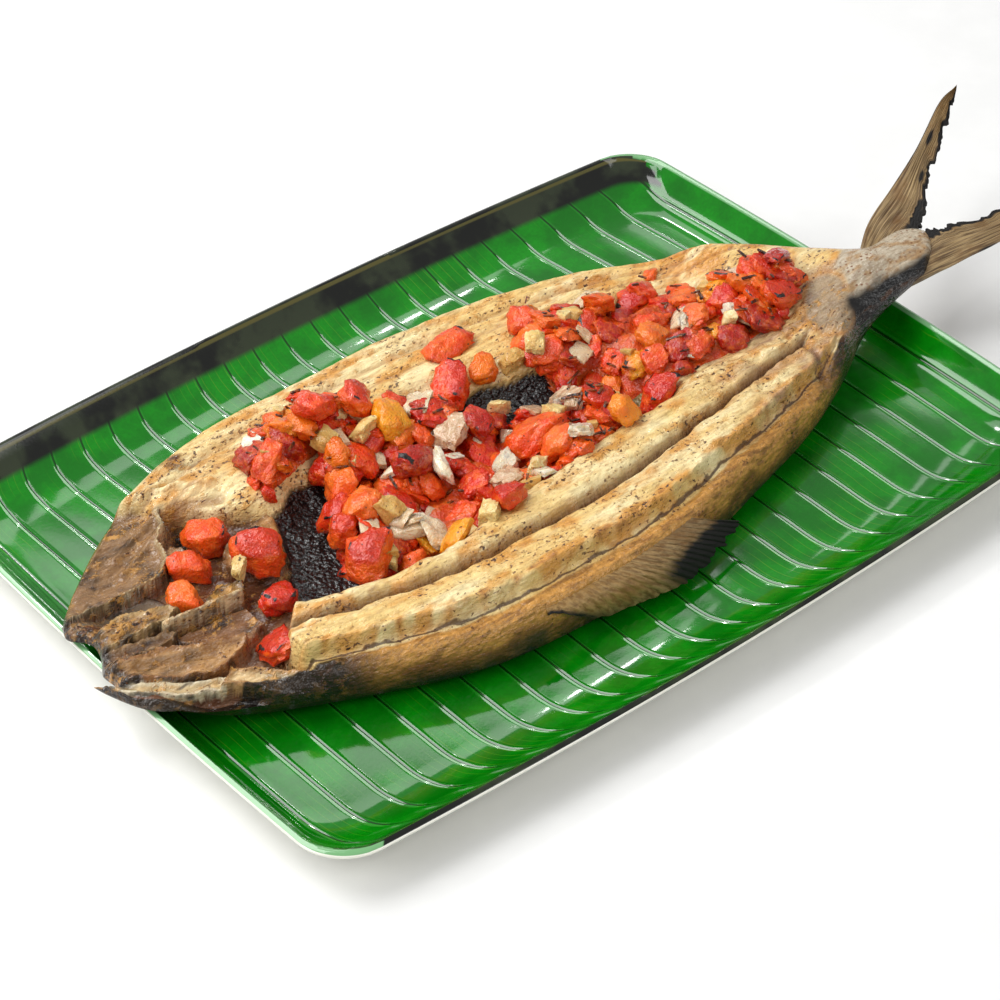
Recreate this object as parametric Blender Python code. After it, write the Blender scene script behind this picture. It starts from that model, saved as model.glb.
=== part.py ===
"""A whole grilled milkfish, opened from the back and laid flesh up on its melamine tray, topped with
diced tomato, onion and garlic.

Metres, +Z up. X runs along the tray from the fish's snout (-X) to its tail (+X), Y to the tray's far
long side, and the origin is the centre of the tray's flat underside.
"""

import math
import random

import bmesh
import bpy
from mathutils import Matrix, Vector
from mathutils.bvhtree import BVHTree
import numpy as np

# Tray
TRAY_HALF_LENGTH = 0.1525
TRAY_HALF_WIDTH = 0.1075
TRAY_CORNER = 0.0155
TRAY_END_BOW = 0.0027
TRAY_SIDE_BOW = 0.0053
TRAY_HEIGHT = 0.0150
TRAY_FLOOR = 0.0035
TRAY_LIP = 0.0022
LIP_WIDTH = 0.0022
FOOT_INSET_SIDE = 0.0280
FOOT_INSET_END = 0.0165
# Levels of the wall, as shares of its width from the rim: inside, and outside from the foot up
INSIDE_LEVELS = (0.10, 0.28, 0.48, 0.70, 0.88, 1.0)
OUTSIDE_LEVELS = (1.0, 0.80, 0.55, 0.30, 0.12)
INSIDE_CURVE = 2.2
OUTSIDE_CURVE = 2.0
CORNER_STEPS = 6
SIDE_STEPS = 10
END_STEPS = 7

# Fish: lengths along X, then heights above the table
SNOUT_X = -0.163
FORK_X = 0.174
UNDERSIDE = 0.0039
SKIN_TOP = 0.0210
LOIN_TOP = 0.0270
BAND_TOP = 0.0255
CAVITY_FLOOR = 0.0088
TAIL_FLESH = 0.0222
FAR_FLESH = 0.0203
GROOVE_DEPTH = 0.0062
THINNEST = 0.0034
STATIONS = 66
# How far in the edges are rounded: along both sides, then at the snout and the fork
SIDE_ROUND_ABOVE = 0.0052
SIDE_ROUND_BELOW = 0.0125
END_ROUND_ABOVE = 0.0050
END_ROUND_BELOW = 0.0060

# Where one stretch of the fish passes into the next along X
HEAD_TO_BODY = (-0.112, -0.099)
CAVITY_STARTS = (-0.104, -0.090)
CAVITY_ENDS = (0.046, 0.062)
BODY_TO_TAIL = (0.098, 0.118)
TAIL_TO_STEM = (0.112, 0.150)

# Outline of the fish in plan, snout to fork: the side near the dorsal fin, then the far side
NEAR_EDGE = [
    (-0.1630, -0.0100), (-0.1585, -0.0210), (-0.1480, -0.0310), (-0.1210, -0.0445),
    (-0.0900, -0.0580), (-0.0610, -0.0675), (-0.0300, -0.0702), (0.0100, -0.0690),
    (0.0510, -0.0600), (0.0920, -0.0490), (0.1130, -0.0400), (0.1300, -0.0320),
    (0.1480, -0.0300), (0.1740, -0.0300),
]
FAR_EDGE = [
    (-0.1630, 0.0130), (-0.1565, 0.0190), (-0.1480, 0.0275), (-0.1080, 0.0580),
    (-0.0780, 0.0685), (-0.0340, 0.0710), (0.0100, 0.0712), (0.0470, 0.0665),
    (0.0880, 0.0540), (0.1080, 0.0420), (0.1280, 0.0270), (0.1400, 0.0090),
    (0.1500, -0.0050), (0.1740, -0.0010),
]
# How far the split jaws' three tips and two notches stand back from the snout, across the head
SNOUT_SETBACK = [
    (0.0, 0.0010), (0.08, 0.0), (0.2, 0.0045), (0.42, 0.0050), (0.70, 0.0105), (0.94, 0.0060), (1.0, 0.0075),
]

# Heights along X: the edge's widest level, the underside, and the thickness of the tail's stem
EDGE_LEVEL = [
    (-0.1630, 0.0182), (-0.1400, 0.0150), (-0.1100, 0.0120), (0.0900, 0.0120),
    (0.1200, 0.0165), (0.1500, 0.0262), (0.1740, 0.0308),
]
UNDERSIDE_LEVEL = [
    (-0.1630, 0.0168), (-0.1520, 0.0165), (-0.1400, 0.0095), (-0.1220, 0.0042), (-0.1100, 0.0039),
    (0.0950, 0.0039), (0.1100, 0.0048), (0.1250, 0.0090), (0.1420, 0.0165), (0.1740, 0.0285),
]
HEAD_TOP = [(-0.1630, 0.0215), (-0.1450, 0.0195), (-0.1200, 0.0175), (-0.1000, 0.0175)]
STEM_TOP = [(0.0900, 0.0235), (0.1200, 0.0275), (0.1500, 0.0335), (0.1740, 0.0335)]

# Where the long features run, as a share of the width from the near edge
CUT_AT = 0.062
GROOVE_AT = 0.200
FAR_GROOVE_AT = 0.905
BAND_END = [
    (-0.1000, 0.25), (-0.0600, 0.245), (-0.0200, 0.285), (0.0200, 0.31), (0.0600, 0.29), (0.1000, 0.265),
]
CAVITY_FAR = [
    (-0.1200, 0.60), (-0.0830, 0.68), (-0.0500, 0.76), (0.0100, 0.755), (0.0400, 0.68), (0.0600, 0.60),
    (0.1200, 0.62),
]
COLUMNS = [
    0.0, 0.006, 0.018, 0.038, 0.062, 0.085, 0.12, 0.16, 0.186, 0.2, 0.215, 0.24, 0.275, 0.32, 0.37,
    0.44, 0.52, 0.60, 0.67, 0.72, 0.77, 0.83, 0.88, 0.905, 0.93, 0.96, 0.982, 0.994, 1.0,
]

# Forms of the split head: (start, end, half width, height), negative where it is hollow
HEAD_FORMS = [
    ((-0.157, -0.0190), (-0.109, -0.0460), 0.0034, 0.0052),  # near gill cover's cut edge
    ((-0.160, -0.0120), (-0.119, -0.0230), 0.0030, 0.0048),  # near jaw's inner edge
    ((-0.150, -0.0210), (-0.115, -0.0360), 0.0035, -0.0025),  # between jaw and gill cover
    ((-0.142, -0.0085), (-0.106, -0.0140), 0.0048, -0.0050),  # throat hollow
    ((-0.156, 0.0010), (-0.130, 0.0045), 0.0032, 0.0042),  # tongue and palate ridge
    ((-0.136, -0.0020), (-0.122, -0.0035), 0.0022, 0.0030),  # its second fold
    ((-0.149, 0.0100), (-0.118, 0.0115), 0.0040, -0.0045),  # roof of the mouth
    ((-0.154, 0.0170), (-0.119, 0.0180), 0.0022, 0.0038),  # far jaw's edge
    ((-0.140, 0.0270), (-0.112, 0.0420), 0.0075, -0.0040),  # dish of the far gill cover
    ((-0.150, 0.0240), (-0.108, 0.0545), 0.0030, 0.0030),  # its outer rim
    ((-0.106, 0.0120), (-0.086, 0.0260), 0.0045, 0.0050),  # gill arches left in the throat
    ((-0.100, -0.0020), (-0.088, 0.0100), 0.0050, 0.0045),
]

# Tail fin: the plane that it lies in, and each lobe's outer and inner edge in plan, root to tip
FIN_ORIGIN = (0.150, -0.014, 0.0270)
FIN_RISE = (0.181, 0.080)
UPPER_OUTER = [
    (0.1500, -0.0075), (0.1626, 0.0005), (0.1793, 0.0067),
    (0.1986, 0.0140), (0.2207, 0.0245), (0.2330, 0.0269),
]
UPPER_INNER = [
    (0.1500, -0.0170), (0.1640, -0.0150), (0.1760, -0.0125),
    (0.1967, 0.0035), (0.2172, 0.0155), (0.2322, 0.0262),
]
LOWER_OUTER = [
    (0.1500, -0.0290), (0.1617, -0.0312), (0.1738, -0.0341),
    (0.1881, -0.0367), (0.2150, -0.0410), (0.2410, -0.0430),
]
LOWER_INNER = [
    (0.1500, -0.0170), (0.1640, -0.0155), (0.1760, -0.0160),
    (0.1881, -0.0222), (0.2140, -0.0300), (0.2408, -0.0423),
]
LOBE_STEPS = 9
FIN_ROOT_THICKNESS = 0.0046
FIN_TIP_THICKNESS = 0.0012

# Dorsal fin, hanging over the near edge: plan outline, then its lower face and thickness
DORSAL_OUTLINE = [
    (-0.036, -0.0620), (-0.037, -0.0708), (-0.024, -0.0722), (-0.008, -0.0735), (0.003, -0.0757),
    (0.014, -0.0768), (0.026, -0.0735), (0.0405, -0.0690), (0.0375, -0.0650), (0.024, -0.0600),
]
DORSAL_LEVEL = 0.0062
DORSAL_RISE = 0.036
DORSAL_THICKNESS = 0.0018

# Topping
GAP = 0.0006
HEAP_SEED = 7
HEAP_STEPS = 6
HEAP_REACH = 0.0052
# A heap's far side lies a little nearer the tail than its near side
HEAP_SLANT = 0.3
HEAP_RIM = 0.0006
HEAP_DOME = 0.55
# Across the heap, in turn, lie its pieces, each this share of its half width off the spine
PIECE_ROWS = (0.0, 0.62, -0.62, 0.32, -0.34)
PIECE_SIDES = (0.0075, 0.0125)
DICE_REACH = 0.0042
DICE_BEVEL = 0.16
CHUNK_ROUGHNESS = 0.14
# Each heap: the spine (x, y, half width, thickness), then how many pieces lie on it
HEAPS = {
    "salsa_tail": (
        [
            (0.036, 0.034, 0.010, 0.005), (0.052, 0.022, 0.020, 0.0075), (0.070, 0.012, 0.024, 0.0085),
            (0.090, 0.004, 0.018, 0.0080), (0.107, 0.000, 0.012, 0.0060), (0.120, -0.002, 0.005, 0.0030),
        ],
        30,
    ),
    "salsa_middle": (
        [
            (-0.068, -0.008, 0.009, 0.006), (-0.054, -0.003, 0.020, 0.009), (-0.036, -0.001, 0.025, 0.010),
            (-0.018, -0.001, 0.025, 0.010), (-0.002, -0.003, 0.022, 0.010), (0.014, -0.006, 0.019, 0.010),
            (0.028, -0.008, 0.014, 0.009), (0.038, -0.009, 0.008, 0.006),
        ],
        36,
    ),
    "salsa_side": (
        [
            (-0.074, 0.035, 0.007, 0.0035), (-0.060, 0.042, 0.010, 0.006), (-0.045, 0.046, 0.010, 0.0065),
            (-0.030, 0.045, 0.007, 0.0045),
        ],
        9,
    ),
}
# Dice that lie apart: (x, y, length, width, height, turn in degrees)
DICE = [
    (-0.1205, 0.0065, 0.0120, 0.0105, 0.0090, -45),
    (-0.1095, 0.0175, 0.0140, 0.0085, 0.0075, -45),
    (-0.0980, 0.0275, 0.0140, 0.0115, 0.0100, -40),
    (-0.0935, 0.0065, 0.0150, 0.0105, 0.0095, 150),
    (-0.0975, -0.0105, 0.0140, 0.0090, 0.0080, 20),
    (-0.1110, -0.0270, 0.0180, 0.0100, 0.0065, 78),
    (0.0054, 0.0350, 0.0130, 0.0115, 0.0080, 40),
    (0.0164, 0.0492, 0.0190, 0.0105, 0.0055, 5),
    (0.0960, 0.0370, 0.0065, 0.0045, 0.0030, 25),
]


def clear_scene():
    for leftover in list(bpy.data.objects):
        bpy.data.objects.remove(leftover, do_unlink=True)


def material(name, colour, roughness, metallic=0.0):
    made = bpy.data.materials.new(name)
    made.use_nodes = True
    shader = made.node_tree.nodes["Principled BSDF"]
    shader.inputs["Base Color"].default_value = (*colour, 1.0)
    shader.inputs["Roughness"].default_value = roughness
    shader.inputs["Metallic"].default_value = metallic
    return made


def link_mesh(name, shape, finish):
    """Turns a bmesh into a named object with its faces pointing out."""
    bmesh.ops.recalc_face_normals(shape, faces=shape.faces)
    data = bpy.data.meshes.new(name)
    shape.to_mesh(data)
    shape.free()
    data.materials.append(finish)
    made = bpy.data.objects.new(name, data)
    bpy.context.scene.collection.objects.link(made)
    return made


def apply_modifiers(thing):
    """Replaces the object's mesh by its evaluated one."""
    graph = bpy.context.evaluated_depsgraph_get()
    data = bpy.data.meshes.new_from_object(thing.evaluated_get(graph))
    thing.modifiers.clear()
    thing.data = data


def fuse(base, additions):
    """Joins the additions to the base by one Boolean union, and removes them."""
    group = bpy.data.collections.new(base.name + "_additions")
    bpy.context.scene.collection.children.link(group)
    for addition in additions:
        group.objects.link(addition)
    union = base.modifiers.new("union", "BOOLEAN")
    union.operation = "UNION"
    union.operand_type = "COLLECTION"
    union.collection = group
    union.solver = "EXACT"
    apply_modifiers(base)
    for addition in additions:
        bpy.data.objects.remove(addition, do_unlink=True)
    bpy.data.collections.remove(group)


def keep_outer_shell(thing):
    """Leaves the largest shell of faces: a sealed hollow is filled, and a loose scrap dropped."""
    shape = bmesh.new()
    shape.from_mesh(thing.data)
    unseen = set(shape.faces)
    shells = []
    while unseen:
        border = [unseen.pop()]
        shell = set(border)
        while border:
            for edge in border.pop().edges:
                for face in edge.link_faces:
                    if face in unseen:
                        unseen.remove(face)
                        shell.add(face)
                        border.append(face)
        shells.append(shell)
    largest = max(shells, key=len)
    scraps = [face for face in shape.faces if face not in largest]
    bmesh.ops.delete(shape, geom=scraps, context="FACES")
    shape.to_mesh(thing.data)
    shape.free()


def smooth(low, high, value):
    share = min(max((value - low) / (high - low), 0.0), 1.0)
    return share * share * (3 - 2 * share)


def mix(first, second, share):
    return first + (second - first) * share


def bump(offset, half_width):
    return math.exp(-((offset / half_width) ** 2))


def curve_through(points):
    """A smooth function of the first coordinate that passes through the points."""
    places, values = (np.array(column) for column in zip(*points))
    slopes = np.gradient(values, places)

    def value(place):
        place = min(max(place, places[0]), places[-1])
        i = min(int(np.searchsorted(places, place, side="right")) - 1, len(places) - 2)
        span = places[i + 1] - places[i]
        t = (place - places[i]) / span
        start = values[i] * (1 + 2 * t) * (1 - t) ** 2 + slopes[i] * span * t * (1 - t) ** 2
        end = values[i + 1] * t * t * (3 - 2 * t) + slopes[i + 1] * span * t * t * (t - 1)
        return float(start + end)

    return value


def skin_grids(rings_above, rings_below):
    """A closed shell from an upper and a lower grid of points that share their border."""
    shape = bmesh.new()
    above = [[shape.verts.new(point) for point in row] for row in rings_above]
    rows, columns = len(above), len(above[0])
    below = [
        [
            above[i][j]
            if i in (0, rows - 1) or j in (0, columns - 1)
            else shape.verts.new(rings_below[i][j])
            for j in range(columns)
        ]
        for i in range(rows)
    ]
    for i in range(rows - 1):
        for j in range(columns - 1):
            # Each quad is split from the grid's nearer corner, so no two halves fall together there
            turned = (i > rows / 2) != (j > columns / 2)
            for grid in (above, below):
                a, b, c, d = grid[i][j], grid[i + 1][j], grid[i + 1][j + 1], grid[i][j + 1]
                halves = ((a, b, d), (b, c, d)) if turned else ((a, b, c), (a, c, d))
                for half in halves:
                    shape.faces.new(half)
    return shape


# Tray


def tray_outline(inset_side, inset_end, level):
    """One level of the tray: a rounded rectangle whose sides bow outwards a little."""
    half_x = TRAY_HALF_LENGTH - inset_end
    half_y = TRAY_HALF_WIDTH - inset_side
    corner = TRAY_CORNER - 0.25 * inset_side
    points = []
    for quarter in range(4):
        sign_x = 1 if quarter in (0, 3) else -1
        sign_y = 1 if quarter in (0, 1) else -1
        centre = (sign_x * (half_x - corner), sign_y * (half_y - corner))
        for step in range(CORNER_STEPS + 1):
            turn = math.pi / 2 * (quarter + step / CORNER_STEPS)
            points.append((centre[0] + corner * math.cos(turn), centre[1] + corner * math.sin(turn)))
        along_side = quarter in (0, 2)
        steps = SIDE_STEPS if along_side else END_STEPS
        start = points[-1]
        following = {0: (-1, 1), 1: (-1, -1), 2: (1, -1), 3: (1, 1)}[quarter]
        end = (
            (following[0] * (half_x - corner), start[1])
            if along_side
            else (start[0], following[1] * (half_y - corner))
        )
        for step in range(1, steps):
            share = step / steps
            points.append((mix(start[0], end[0], share), mix(start[1], end[1], share)))
    bowed = []
    for x, y in points:
        bow_x = TRAY_END_BOW * (1 - (y / half_y) ** 2) * x / half_x
        bow_y = TRAY_SIDE_BOW * (1 - (x / half_x) ** 2) * y / half_y
        bowed.append(Vector((x + bow_x, y + bow_y, level)))
    return bowed


def make_tray(finish):
    """A shallow tray: a rolled lip, walls that flatten into the floor, and a flat underside."""
    rim = TRAY_HEIGHT - 0.0003
    inside = []
    for share in INSIDE_LEVELS:
        inside.append(
            (
                mix(LIP_WIDTH, FOOT_INSET_SIDE - 0.001, share),
                mix(LIP_WIDTH, FOOT_INSET_END - 0.002, share),
                TRAY_FLOOR + (rim - TRAY_FLOOR) * (1 - share) ** INSIDE_CURVE,
            )
        )
    outside = []
    for share in OUTSIDE_LEVELS:
        outside.append(
            (
                mix(0.001, FOOT_INSET_SIDE, share),
                mix(0.001, FOOT_INSET_END, share),
                (TRAY_HEIGHT - TRAY_LIP) * (1 - share) ** OUTSIDE_CURVE,
            )
        )
    lip = [
        (0.0008, 0.0008, TRAY_HEIGHT - TRAY_LIP),
        (0.0, 0.0, TRAY_HEIGHT - 0.0013),
        (0.0005, 0.0005, TRAY_HEIGHT - 0.0002),
        (0.0015, 0.0015, TRAY_HEIGHT),
    ]
    shape = bmesh.new()
    rings = [
        [shape.verts.new(point) for point in tray_outline(*level)]
        for level in outside + lip + inside
    ]
    count = len(rings[0])
    for lower, upper in zip(rings, rings[1:]):
        for i in range(count):
            j = (i + 1) % count
            shape.faces.new((lower[i], lower[j], upper[j], upper[i]))
    shape.faces.new(rings[0][::-1])
    shape.faces.new(rings[-1])
    return link_mesh("tray", shape, finish)


# Fish

near_edge = curve_through(NEAR_EDGE)
far_edge = curve_through(FAR_EDGE)
snout_setback = curve_through(SNOUT_SETBACK)
edge_level = curve_through(EDGE_LEVEL)
underside_level = curve_through(UNDERSIDE_LEVEL)
head_top = curve_through(HEAD_TOP)
stem_top = curve_through(STEM_TOP)
band_end = curve_through(BAND_END)
cavity_far = curve_through(CAVITY_FAR)


def head_relief(x, y):
    """The jaws, gill covers and hollows of the split head."""
    height = 0.0
    for start, end, half_width, rise in HEAD_FORMS:
        run = Vector(end) - Vector(start)
        along = min(max((Vector((x, y)) - Vector(start)).dot(run) / run.length_squared, 0.0), 1.0)
        distance = (Vector((x, y)) - Vector(start) - run * along).length
        height += rise * bump(distance, half_width)
    return height


def flesh_height(x, y, across):
    """The upper face away from the edges: loin, groove, inner band, belly cavity and far flank."""
    body = smooth(*HEAD_TO_BODY, x)
    tail = smooth(*BODY_TO_TAIL, x)
    cavity = smooth(*CAVITY_STARTS, x) * (1 - smooth(*CAVITY_ENDS, x))
    loin = mix(SKIN_TOP, LOIN_TOP, smooth(CUT_AT, CUT_AT + 0.022, across))
    loin = mix(loin, BAND_TOP, smooth(0.11, GROOVE_AT, across))
    loin -= GROOVE_DEPTH * bump(across - GROOVE_AT, 0.013) * (1 - tail)
    inner = mix(TAIL_FLESH, CAVITY_FLOOR, cavity)
    far = FAR_FLESH - 0.0018 * bump(across - FAR_GROOVE_AT, 0.012)
    flank = mix(loin, inner, smooth(band_end(x), band_end(x) + 0.085, across))
    flank = mix(flank, far, smooth(cavity_far(x) - 0.09, cavity_far(x) + 0.03, across))
    flank = mix(flank, stem_top(x), tail)
    return mix(head_top(x), flank, body) + head_relief(x, y)


def rounding(distance, radius):
    """Nought at an edge, one from a radius inwards, along a quarter ellipse."""
    share = min(max(distance / radius, 0.0), 1.0)
    return math.sqrt(1 - (1 - share) ** 2)


def fish_station(along, across):
    """The upper and lower point of the fish at a share of its length and of its width."""
    front = SNOUT_X + snout_setback(across)
    x = mix(front, FORK_X, along)
    width = far_edge(x) - near_edge(x)
    y = near_edge(x) + width * across
    side = width * min(across, 1 - across)
    end = min(x - front, FORK_X - x)
    stem = smooth(*TAIL_TO_STEM, x)
    upper_radius = mix(SIDE_ROUND_ABOVE, width / 2, stem)
    lower_radius = mix(SIDE_ROUND_BELOW, width / 2, stem)
    level = edge_level(x)
    upper = rounding(side, upper_radius) * rounding(end, END_ROUND_ABOVE)
    lower = rounding(side, lower_radius) * rounding(end, END_ROUND_BELOW)
    floor = max(underside_level(x), UNDERSIDE)
    crest = max(flesh_height(x, y, across), floor + THINNEST)
    top = level + (crest - level) * upper
    bottom = level - (level - floor) * lower
    return Vector((x, y, top)), Vector((x, y, bottom))


def make_fish_body(finish):
    above, below = [], []
    for i in range(STATIONS + 1):
        share = i / STATIONS
        along = share - 0.35 * math.sin(2 * math.pi * share) / (2 * math.pi)
        points = [fish_station(along, across) for across in COLUMNS]
        above.append([upper for upper, _ in points])
        below.append([lower for _, lower in points])
    shape = skin_grids(above, below)
    body = link_mesh("fish", shape, finish)
    first_lower = (STATIONS + 1) * len(COLUMNS)
    inner_columns = len(COLUMNS) - 2
    flat_part = [
        first_lower + i * inner_columns + j
        for i in range(2, STATIONS - 3)
        for j in range(2, inner_columns - 2)
    ]
    lower_side = body.vertex_groups.new(name="lower_side")
    lower_side.add(flat_part, 1.0, "REPLACE")
    thin = body.modifiers.new("fewer_faces_below", "DECIMATE")
    thin.ratio = 0.60
    thin.vertex_group = lower_side.name
    apply_modifiers(body)
    for vert in body.data.vertices:
        vert.co.z = max(vert.co.z, UNDERSIDE)
    return body


def fin_level(x, y):
    return FIN_ORIGIN[2] + FIN_RISE[0] * (x - FIN_ORIGIN[0]) + FIN_RISE[1] * (y - FIN_ORIGIN[1])


def make_lobe(name, outer, inner, finish):
    """One lobe of the tail fin: a blade, thick along its middle and thin at both edges."""
    spans = [
        curve_through([(i, point[k]) for i, point in enumerate(edge)])
        for edge in (outer, inner)
        for k in (0, 1)
    ]
    last = len(outer) - 1
    shape = bmesh.new()
    rings = []
    for step in range(LOBE_STEPS + 1):
        place = last * step / LOBE_STEPS
        start = Vector((spans[0](place), spans[1](place)))
        end = Vector((spans[2](place), spans[3](place)))
        thick = mix(FIN_ROOT_THICKNESS, FIN_TIP_THICKNESS, min(1.0, 1.6 * step / LOBE_STEPS))
        ring = []
        for share, offset in ((0, -0.25), (0, 0.25), (0.5, 0.5), (1, 0.25), (1, -0.25), (0.5, -0.5)):
            x, y = start.lerp(end, share)
            ring.append(shape.verts.new((x, y, fin_level(x, y) + offset * thick)))
        rings.append(ring)
    for lower, upper in zip(rings, rings[1:]):
        for i in range(6):
            j = (i + 1) % 6
            shape.faces.new((lower[i], lower[j], upper[j], upper[i]))
    shape.faces.new(rings[0][::-1])
    shape.faces.new(rings[-1])
    return link_mesh(name, shape, finish)


def make_dorsal_fin(finish):
    shape = bmesh.new()
    lower, upper = [], []
    for x, y in DORSAL_OUTLINE:
        level = DORSAL_LEVEL + DORSAL_RISE * (x - DORSAL_OUTLINE[0][0])
        lower.append(shape.verts.new((x, y, level)))
        upper.append(shape.verts.new((x, y, level + DORSAL_THICKNESS)))
    count = len(lower)
    for i in range(count):
        j = (i + 1) % count
        shape.faces.new((lower[i], lower[j], upper[j], upper[i]))
    shape.faces.new(lower[::-1])
    shape.faces.new(upper)
    return link_mesh("dorsal_fin", shape, finish)


def make_fish(finish):
    fish = make_fish_body(finish)
    fins = [
        make_lobe("upper_lobe", UPPER_OUTER, UPPER_INNER, finish),
        make_lobe("lower_lobe", LOWER_OUTER, LOWER_INNER, finish),
        make_dorsal_fin(finish),
    ]
    fuse(fish, fins)
    return fish


# Topping


def surface_of(thing):
    graph = bpy.context.evaluated_depsgraph_get()
    return BVHTree.FromObject(thing, graph)


def resting_level(surface, x, y, reach):
    """The highest point of the surface within reach of a place."""
    highest = 0.0
    for dx in (-reach, -reach / 2, 0, reach / 2, reach):
        for dy in (-reach, -reach / 2, 0, reach / 2, reach):
            hit = surface.ray_cast(Vector((x + dx, y + dy, 0.2)), Vector((0, 0, -1)))[0]
            if hit:
                highest = max(highest, hit.z)
    return highest


def make_dice(name, surface, size, place, turn, lift, rng, finish, rounded=True):
    """A cut cube of tomato, onion or garlic with uneven corners, lying on the surface."""
    shape = bmesh.new()
    bmesh.ops.create_cube(shape, size=1.0)
    if rounded:
        bmesh.ops.bevel(shape, geom=list(shape.edges), offset=DICE_BEVEL, segments=1, affect="EDGES")
    spin = Matrix.Rotation(math.radians(turn), 3, "Z")
    points = []
    for vert in shape.verts:
        jitter = Vector([rng.uniform(-CHUNK_ROUGHNESS, CHUNK_ROUGHNESS) for _ in range(3)])
        local = spin @ Vector((a * b for a, b in zip(vert.co + jitter, size)))
        points.append(Vector((place[0] + local.x, place[1] + local.y, local.z + size[2] / 2)))
    floor = [resting_level(surface, point.x, point.y, DICE_REACH) for point in points]
    middle = resting_level(surface, place[0], place[1], DICE_REACH)
    base = mix(middle, sum(floor) / len(floor), 0.6) + GAP + lift
    for vert, point, under in zip(shape.verts, points, floor):
        point.z = max(point.z + base, under + GAP + 0.0003)
        if vert.co.z > 0:
            point.z = max(point.z, under + GAP + 0.35 * size[2])
        vert.co = point
    bmesh.ops.delete(shape, geom=list(shape.edges), context="EDGES_FACES")
    hull = bmesh.ops.convex_hull(shape, input=list(shape.verts))
    bmesh.ops.delete(shape, geom=list(set(hull["geom_interior"])), context="VERTS")
    return link_mesh(name, shape, finish)


def make_heap(name, spine, pieces, surface, finish):
    """A low core that follows the fish beneath it, with the pieces that show fused on."""
    rng = random.Random(HEAP_SEED + len(name))
    tracks = [curve_through([(i, point[k]) for i, point in enumerate(spine)]) for k in range(4)]
    last = len(spine) - 1
    steps = 2 * last
    above, below = [], []
    for i in range(steps + 1):
        place = last * i / steps
        x, y, half_width, thickness = (track(place) for track in tracks)
        upper_row, lower_row = [], []
        for j in range(HEAP_STEPS + 1):
            across = 2 * j / HEAP_STEPS - 1
            edge = i in (0, steps) or j in (0, HEAP_STEPS)
            px = x + HEAP_SLANT * across * half_width
            py = y + across * half_width
            under = resting_level(surface, px, py, HEAP_REACH) + GAP
            dome = math.sqrt(max(0.0, 1 - across * across))
            height = HEAP_RIM if edge else HEAP_RIM + thickness * (HEAP_DOME * dome + 0.1 * rng.random())
            lower_row.append(Vector((px, py, under)))
            upper_row.append(Vector((px, py, under + height)))
        above.append(upper_row)
        below.append(lower_row)
    core = link_mesh(name, skin_grids(above, below), finish)
    loose = []
    for k in range(pieces):
        place = last * (k + 0.5) / pieces
        x, y, half_width, thickness = (track(place) for track in tracks)
        across = PIECE_ROWS[k % len(PIECE_ROWS)] + rng.uniform(-0.12, 0.12)
        side = rng.uniform(*PIECE_SIDES)
        size = (side * rng.uniform(0.9, 1.35), side * rng.uniform(0.75, 1.1), side * rng.uniform(0.5, 0.7))
        spot = (x + HEAP_SLANT * across * half_width, y + across * half_width)
        lift = 0.22 * thickness * (1 - across * across)
        turn = rng.uniform(0, 180)
        loose.append(make_dice(f"{name}_{k}", surface, size, spot, turn, lift, rng, finish, rounded=False))
    fuse(core, loose)
    keep_outer_shell(core)
    return core


def main():
    clear_scene()
    melamine = material("green melamine", (0.010, 0.150, 0.012), 0.25)
    grilled = material("grilled fish", (0.640, 0.480, 0.260), 0.45)
    tomato = material("diced tomato", (0.700, 0.090, 0.025), 0.30)
    make_tray(melamine)
    fish = make_fish(grilled)
    surface = surface_of(fish)
    for name, (spine, pieces) in HEAPS.items():
        make_heap(name, spine, pieces, surface, tomato)
    rng = random.Random(HEAP_SEED)
    for number, (x, y, length, width, height, turn) in enumerate(DICE, 1):
        size = (length, width, height)
        make_dice(f"tomato_dice_{number:02d}", surface, size, (x, y), turn, 0.0, rng, tomato)


main()
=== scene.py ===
import math
import random

import bpy
import numpy as np
from mathutils import Matrix, Vector
from mathutils.bvhtree import BVHTree


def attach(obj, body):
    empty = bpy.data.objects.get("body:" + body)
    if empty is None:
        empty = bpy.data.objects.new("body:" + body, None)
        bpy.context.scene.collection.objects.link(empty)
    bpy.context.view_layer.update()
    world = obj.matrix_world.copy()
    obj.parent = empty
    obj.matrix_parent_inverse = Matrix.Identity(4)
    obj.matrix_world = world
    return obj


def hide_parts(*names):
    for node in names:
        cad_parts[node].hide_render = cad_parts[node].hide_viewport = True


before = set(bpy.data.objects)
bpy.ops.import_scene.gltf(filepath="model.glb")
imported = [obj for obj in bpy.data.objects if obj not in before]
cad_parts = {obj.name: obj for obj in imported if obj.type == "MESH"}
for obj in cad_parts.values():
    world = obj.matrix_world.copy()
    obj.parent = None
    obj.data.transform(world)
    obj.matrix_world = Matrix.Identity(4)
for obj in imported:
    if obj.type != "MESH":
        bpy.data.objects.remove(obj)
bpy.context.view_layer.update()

# Metres, Z up. X runs from the snout to the tail, Y to the tray's far long side.
bpy.ops.object.select_all(action="DESELECT")
bpy.context.scene.view_settings.view_transform = "Standard"
print("frame loaded")


# Small functions that everything below uses

def tone(red, green, blue):
    # a screen colour, 0 to 255, as the linear values that a shader takes
    screen = np.array((red, green, blue)) / 255
    return np.where(screen <= 0.04045, screen / 12.92, ((screen + 0.055) / 1.055) ** 2.4)


def ease(low, high, value):
    share = np.clip((value - low) / (high - low), 0, 1)
    return share * share * (3 - 2 * share)


def mix(first, second, share):
    return first + (second - first) * share


def blendTone(first, second, share):
    return first + (second - first) * np.asarray(share)[..., None]


def stained(colour, *stains):
    # the colours under one stain after another, each given as a screen tone and its share
    for screen, share in stains:
        colour = blendTone(colour, tone(*screen), share)
    return colour


def bump(offset, halfWidth):
    return np.exp(-((offset / halfWidth) ** 2))


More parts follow.
